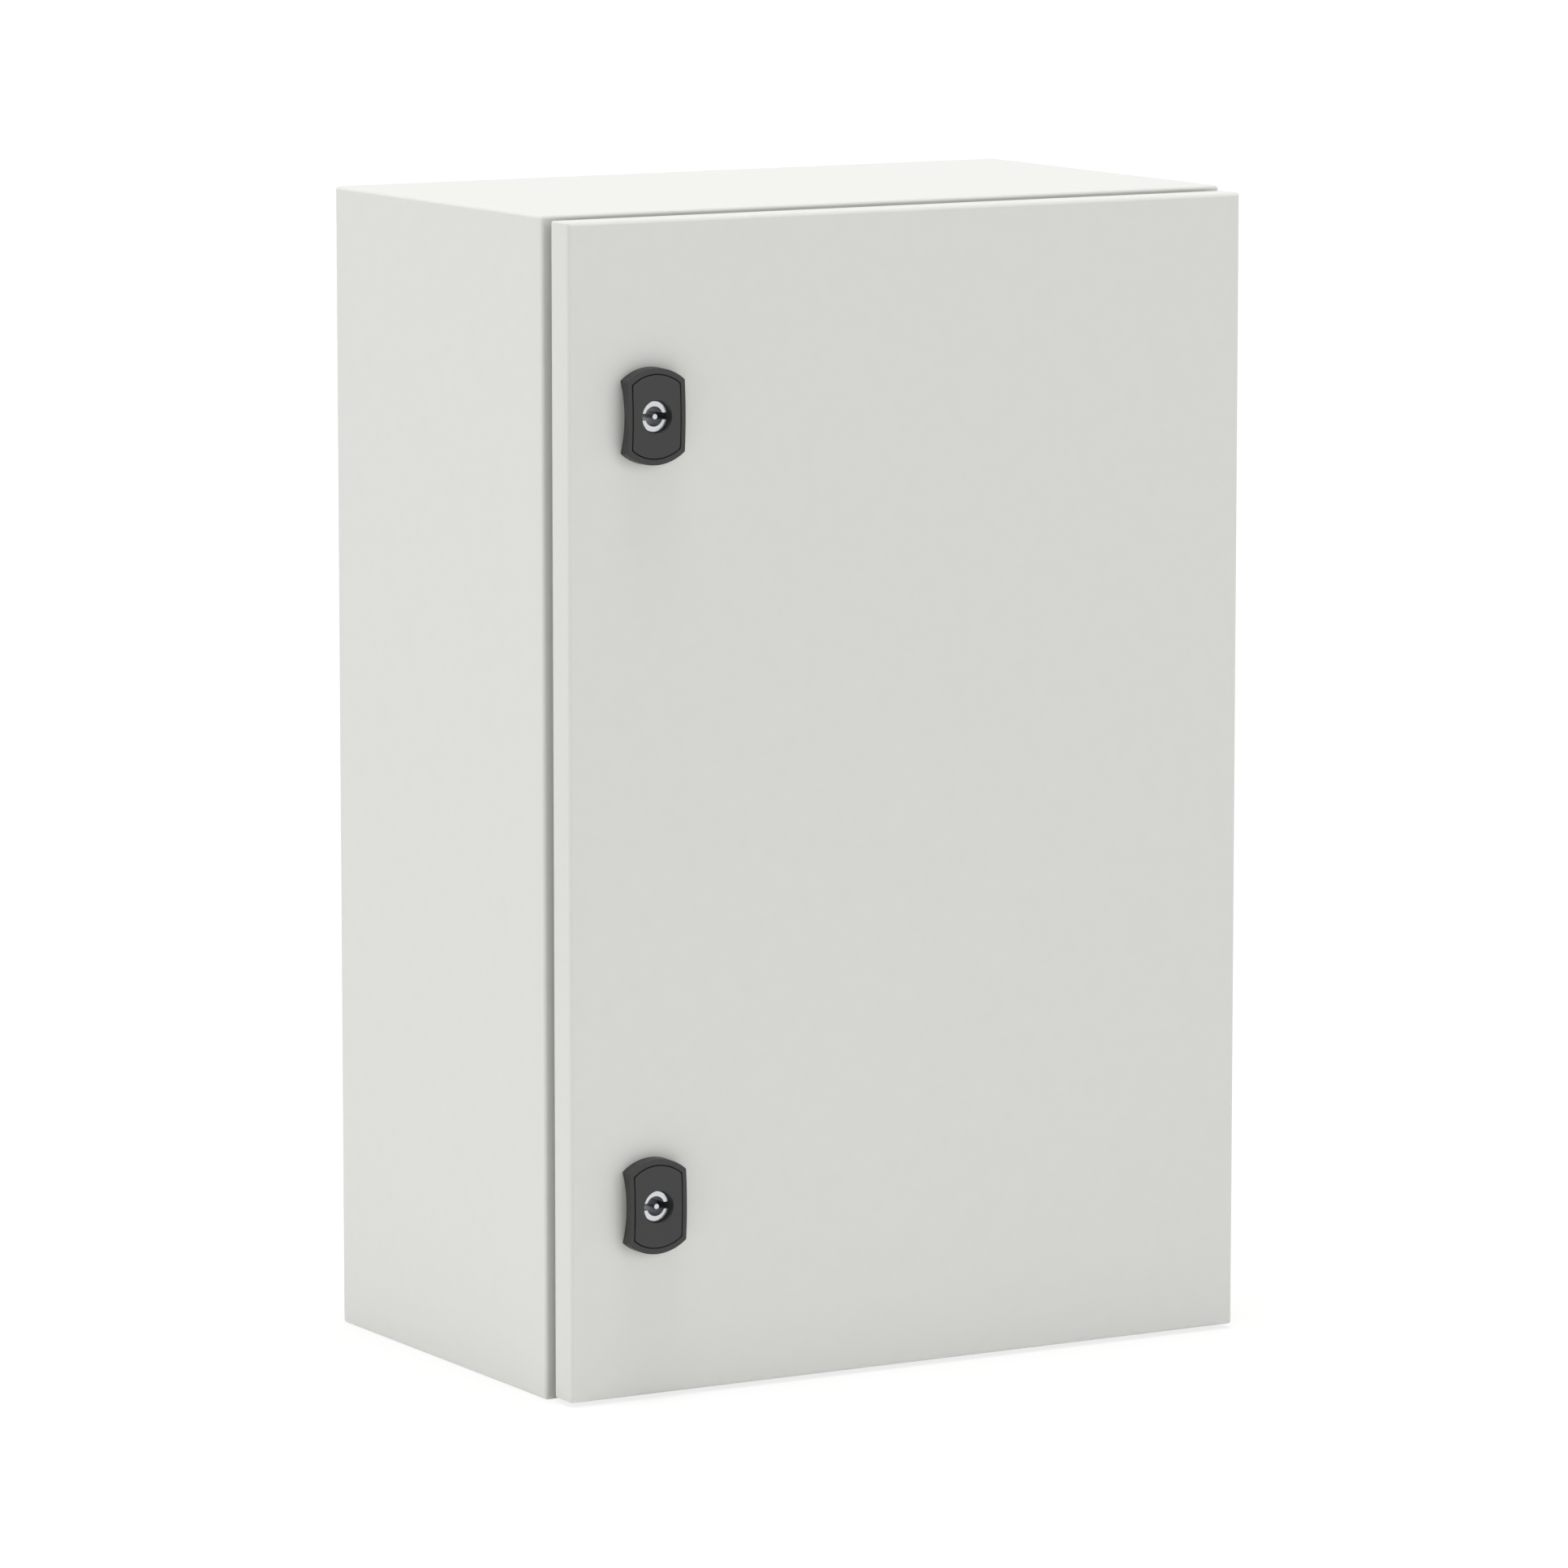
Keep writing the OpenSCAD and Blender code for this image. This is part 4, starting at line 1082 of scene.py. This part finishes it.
class CABINET_OT_lock_barrels(Operator):
    """Moulds the lock barrels: a head, a thread with two flats and a bore for the insert"""

    bl_idname = "cabinet.lock_barrels"
    bl_label = "Lock Barrels"

    def execute(self, context):
        lock = context.scene.cabinet.lock
        low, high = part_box("lock_housing_upper")
        head_back = on_lock(DOOR_LOW.y - lock.floor)
        start = head_back - Y * MM
        barrel = threaded_rod(
            "barrel_upper", start, Y, high.y - start.y, lock.barrel_d / 2, lock.barrel_pitch, steps=48
        )
        cut_flats(barrel, start, lock.barrel_flats)
        head = add_rod("cutter", head_back, -Y, head_back.y - low.y, lock.head_d / 2)
        combine(barrel, head, "UNION")
        mouth = on_lock(low.y - MM)
        wide, narrow = lock.insert_d + 2 * lock.insert_gap, lock.shaft_d + 2 * lock.insert_gap
        drill(barrel, mouth, Y, lock.insert_l + lock.insert_end + MM, wide)
        drill(barrel, mouth, Y, high.y - low.y + 2 * MM, narrow)
        mend(barrel)
        smooth(barrel)
        dress_pair(barrel, finish("lock_plastic"), "lock_housing")
        return {"FINISHED"}


# ---------- softened pieces and the rest ----------


def pairs(*names):
    """The upper and the lower one of each name."""
    return [f"{name}_{end}" for name in names for end in ENDS]


class CABINET_OT_soft_edges(Operator):
    """Breaks the edges of the hinges, plates, cams and lock nuts, as casting, paint or pressing does"""

    bl_idname = "cabinet.soft_edges"
    bl_label = "Soft Edges"

    def execute(self, context):
        edges = context.scene.cabinet.edges
        work = {
            "cast": pairs("hinge_bracket", "hinge_leaf"),
            "turned": pairs("hinge_pin"),
            "painted": ["rear_panel"],
            "sheared": ["mounting_plate", "gland_plate"],
            "stamped": pairs("cam", "cam_washer", "cam_screw", "lock_nut"),
        }
        for way, names in work.items():
            for name in names:
                piece = copy_of_node(name, f"{name}_{way}")
                round_edges(piece, getattr(edges, way), angle=40)
                mend(piece)
                smooth(piece)
                dress(piece, finish(FINISH_OF[name]), frame["nodes"][name]["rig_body"], name)
        return {"FINISHED"}


class CABINET_OT_fasteners(Operator):
    """Finishes the nuts, washers, spacers, screws and seals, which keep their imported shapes"""

    bl_idname = "cabinet.fasteners"
    bl_label = "Fasteners and Seals"

    def execute(self, context):
        for name, obj in frame["nodes"].items():
            if not obj.hide_render:
                paint(obj, finish(FINISH_OF[name]))
        return {"FINISHED"}


# ---------- stage ----------


def seen_by(tree, *kinds):
    """One where a ray is of any of these kinds, zero elsewhere."""
    rays = node(tree, "LightPath")
    seen = rays.outputs[f"Is {kinds[0]} Ray"]
    for kind in kinds[1:]:
        seen = node(tree, "Math", {0: seen, 1: rays.outputs[f"Is {kind} Ray"]}, operation="MAXIMUM")
    return seen


def backdrop_material(white_share):
    """Matt floor: it looks white to the camera and in reflections, and keeps a soft shadow."""
    material, tree, _ = new_material("studio_floor_matt")
    matt = node(tree, "BsdfDiffuse", Color=[*srgb("#F4F4F2"), 1])
    white = node(tree, "Emission", Color=[1, 1, 1, 1], Strength=1.0)
    seen = seen_by(tree, "Camera", "Glossy")
    share = node(tree, "MapRange", {"Value": seen}, To_Max=white_share)
    mix = node(tree, "MixShader", {0: share, 1: matt, 2: white})
    node(tree, "OutputMaterial", {"Surface": mix})
    return material


def studio_world(strength):
    """An even white dome that also shows white behind the cabinet and in its metal."""
    world = bpy.data.worlds.new("studio_dome")
    bpy.context.scene.world = world
    world.use_nodes = True
    tree = world.node_tree
    tree.nodes.clear()
    light = node(tree, "Background", Color=[1, 1, 1, 1], Strength=strength)
    white = node(tree, "Background", Color=[1, 1, 1, 1], Strength=1.0)
    seen = seen_by(tree, "Camera", "Glossy", "Transmission")
    mix = node(tree, "MixShader", {0: seen, 1: light, 2: white})
    node(tree, "OutputWorld", {"Surface": mix})


def add_sun(name, strength, azimuth, elevation, spread):
    """A broad lamp far away; azimuth 0 shines on the front, 90 on the left side."""
    bpy.ops.object.light_add(type="SUN", location=(0, 0, 3))
    sun = bpy.context.object
    sun.name = name
    turn, rise = radians(azimuth), radians(elevation)
    source = Vector((-sin(turn) * cos(rise), -cos(turn) * cos(rise), sin(rise)))
    sun.rotation_euler = source.to_track_quat("Z", "Y").to_euler()
    sun.data.energy = strength
    sun.data.angle = radians(spread)
    # Reflections show the white dome alone, so that no lamp glares off a face seen edge on
    sun.visible_glossy = False


class CABINET_OT_stage(Operator):
    """Lays the floor and sets the dome, the lamps and the camera"""

    bl_idname = "cabinet.stage"
    bl_label = "Stage"

    def execute(self, context):
        stage = context.scene.cabinet.stage
        bpy.ops.mesh.primitive_plane_add(size=stage.floor, location=(0, 0, CAD_BOX[0][2]))
        floor = named("studio_floor")
        floor.data.materials.append(backdrop_material(stage.floor_white))
        studio_world(stage.dome)
        add_sun("top_lamp", stage.top, azimuth=0, elevation=89, spread=20)
        add_sun("left_lamp", stage.left, azimuth=115, elevation=12, spread=50)
        add_sun("front_lamp", stage.front, azimuth=-24, elevation=8, spread=60)
        bpy.ops.object.camera_add(location=stage.camera, rotation=stage.aim)
        camera = bpy.context.object
        camera.data.lens = stage.lens / MM
        camera.data.sensor_width = 36
        camera.data.clip_end = 2 * stage.floor
        context.scene.camera = camera
        context.scene.view_settings.view_transform = "Standard"
        return {"FINISHED"}


# ---------- add-on ----------

STEPS = (
    CABINET_OT_body_shell,
    CABINET_OT_door_skin,
    CABINET_OT_door_gasket,
    CABINET_OT_door_rails,
    CABINET_OT_lock_plates,
    CABINET_OT_lock_covers,
    CABINET_OT_key_inserts,
    CABINET_OT_lock_barrels,
    CABINET_OT_threaded_studs,
    CABINET_OT_soft_edges,
    CABINET_OT_fasteners,
    CABINET_OT_stage,
)


class CABINET_PT_build(Panel):
    """Lists the cabinet's sizes, colours and building steps"""

    bl_label = "Cabinet"
    bl_idname = "CABINET_PT_build"
    bl_space_type = "VIEW_3D"
    bl_region_type = "UI"
    bl_category = "Cabinet"

    def draw(self, context):
        settings = context.scene.cabinet
        for group, kind in SETTINGS.items():
            box = self.layout.box()
            box.label(text=group.title())
            for name in kind.__annotations__:
                box.prop(getattr(settings, group), name)
        for step in STEPS:
            self.layout.operator(step.bl_idname)


CLASSES = (*SETTINGS.values(), CabinetSettings, *STEPS, CABINET_PT_build)


def register():
    for cls in CLASSES:
        bpy.utils.register_class(cls)
    bpy.types.Scene.cabinet = PointerProperty(type=CabinetSettings)


def unregister():
    del bpy.types.Scene.cabinet
    for cls in reversed(CLASSES):
        bpy.utils.unregister_class(cls)


def main():
    register()
    for step in STEPS:
        group, name = step.bl_idname.split(".")
        getattr(getattr(bpy.ops, group), name)()


if __name__ == "__main__":
    main()
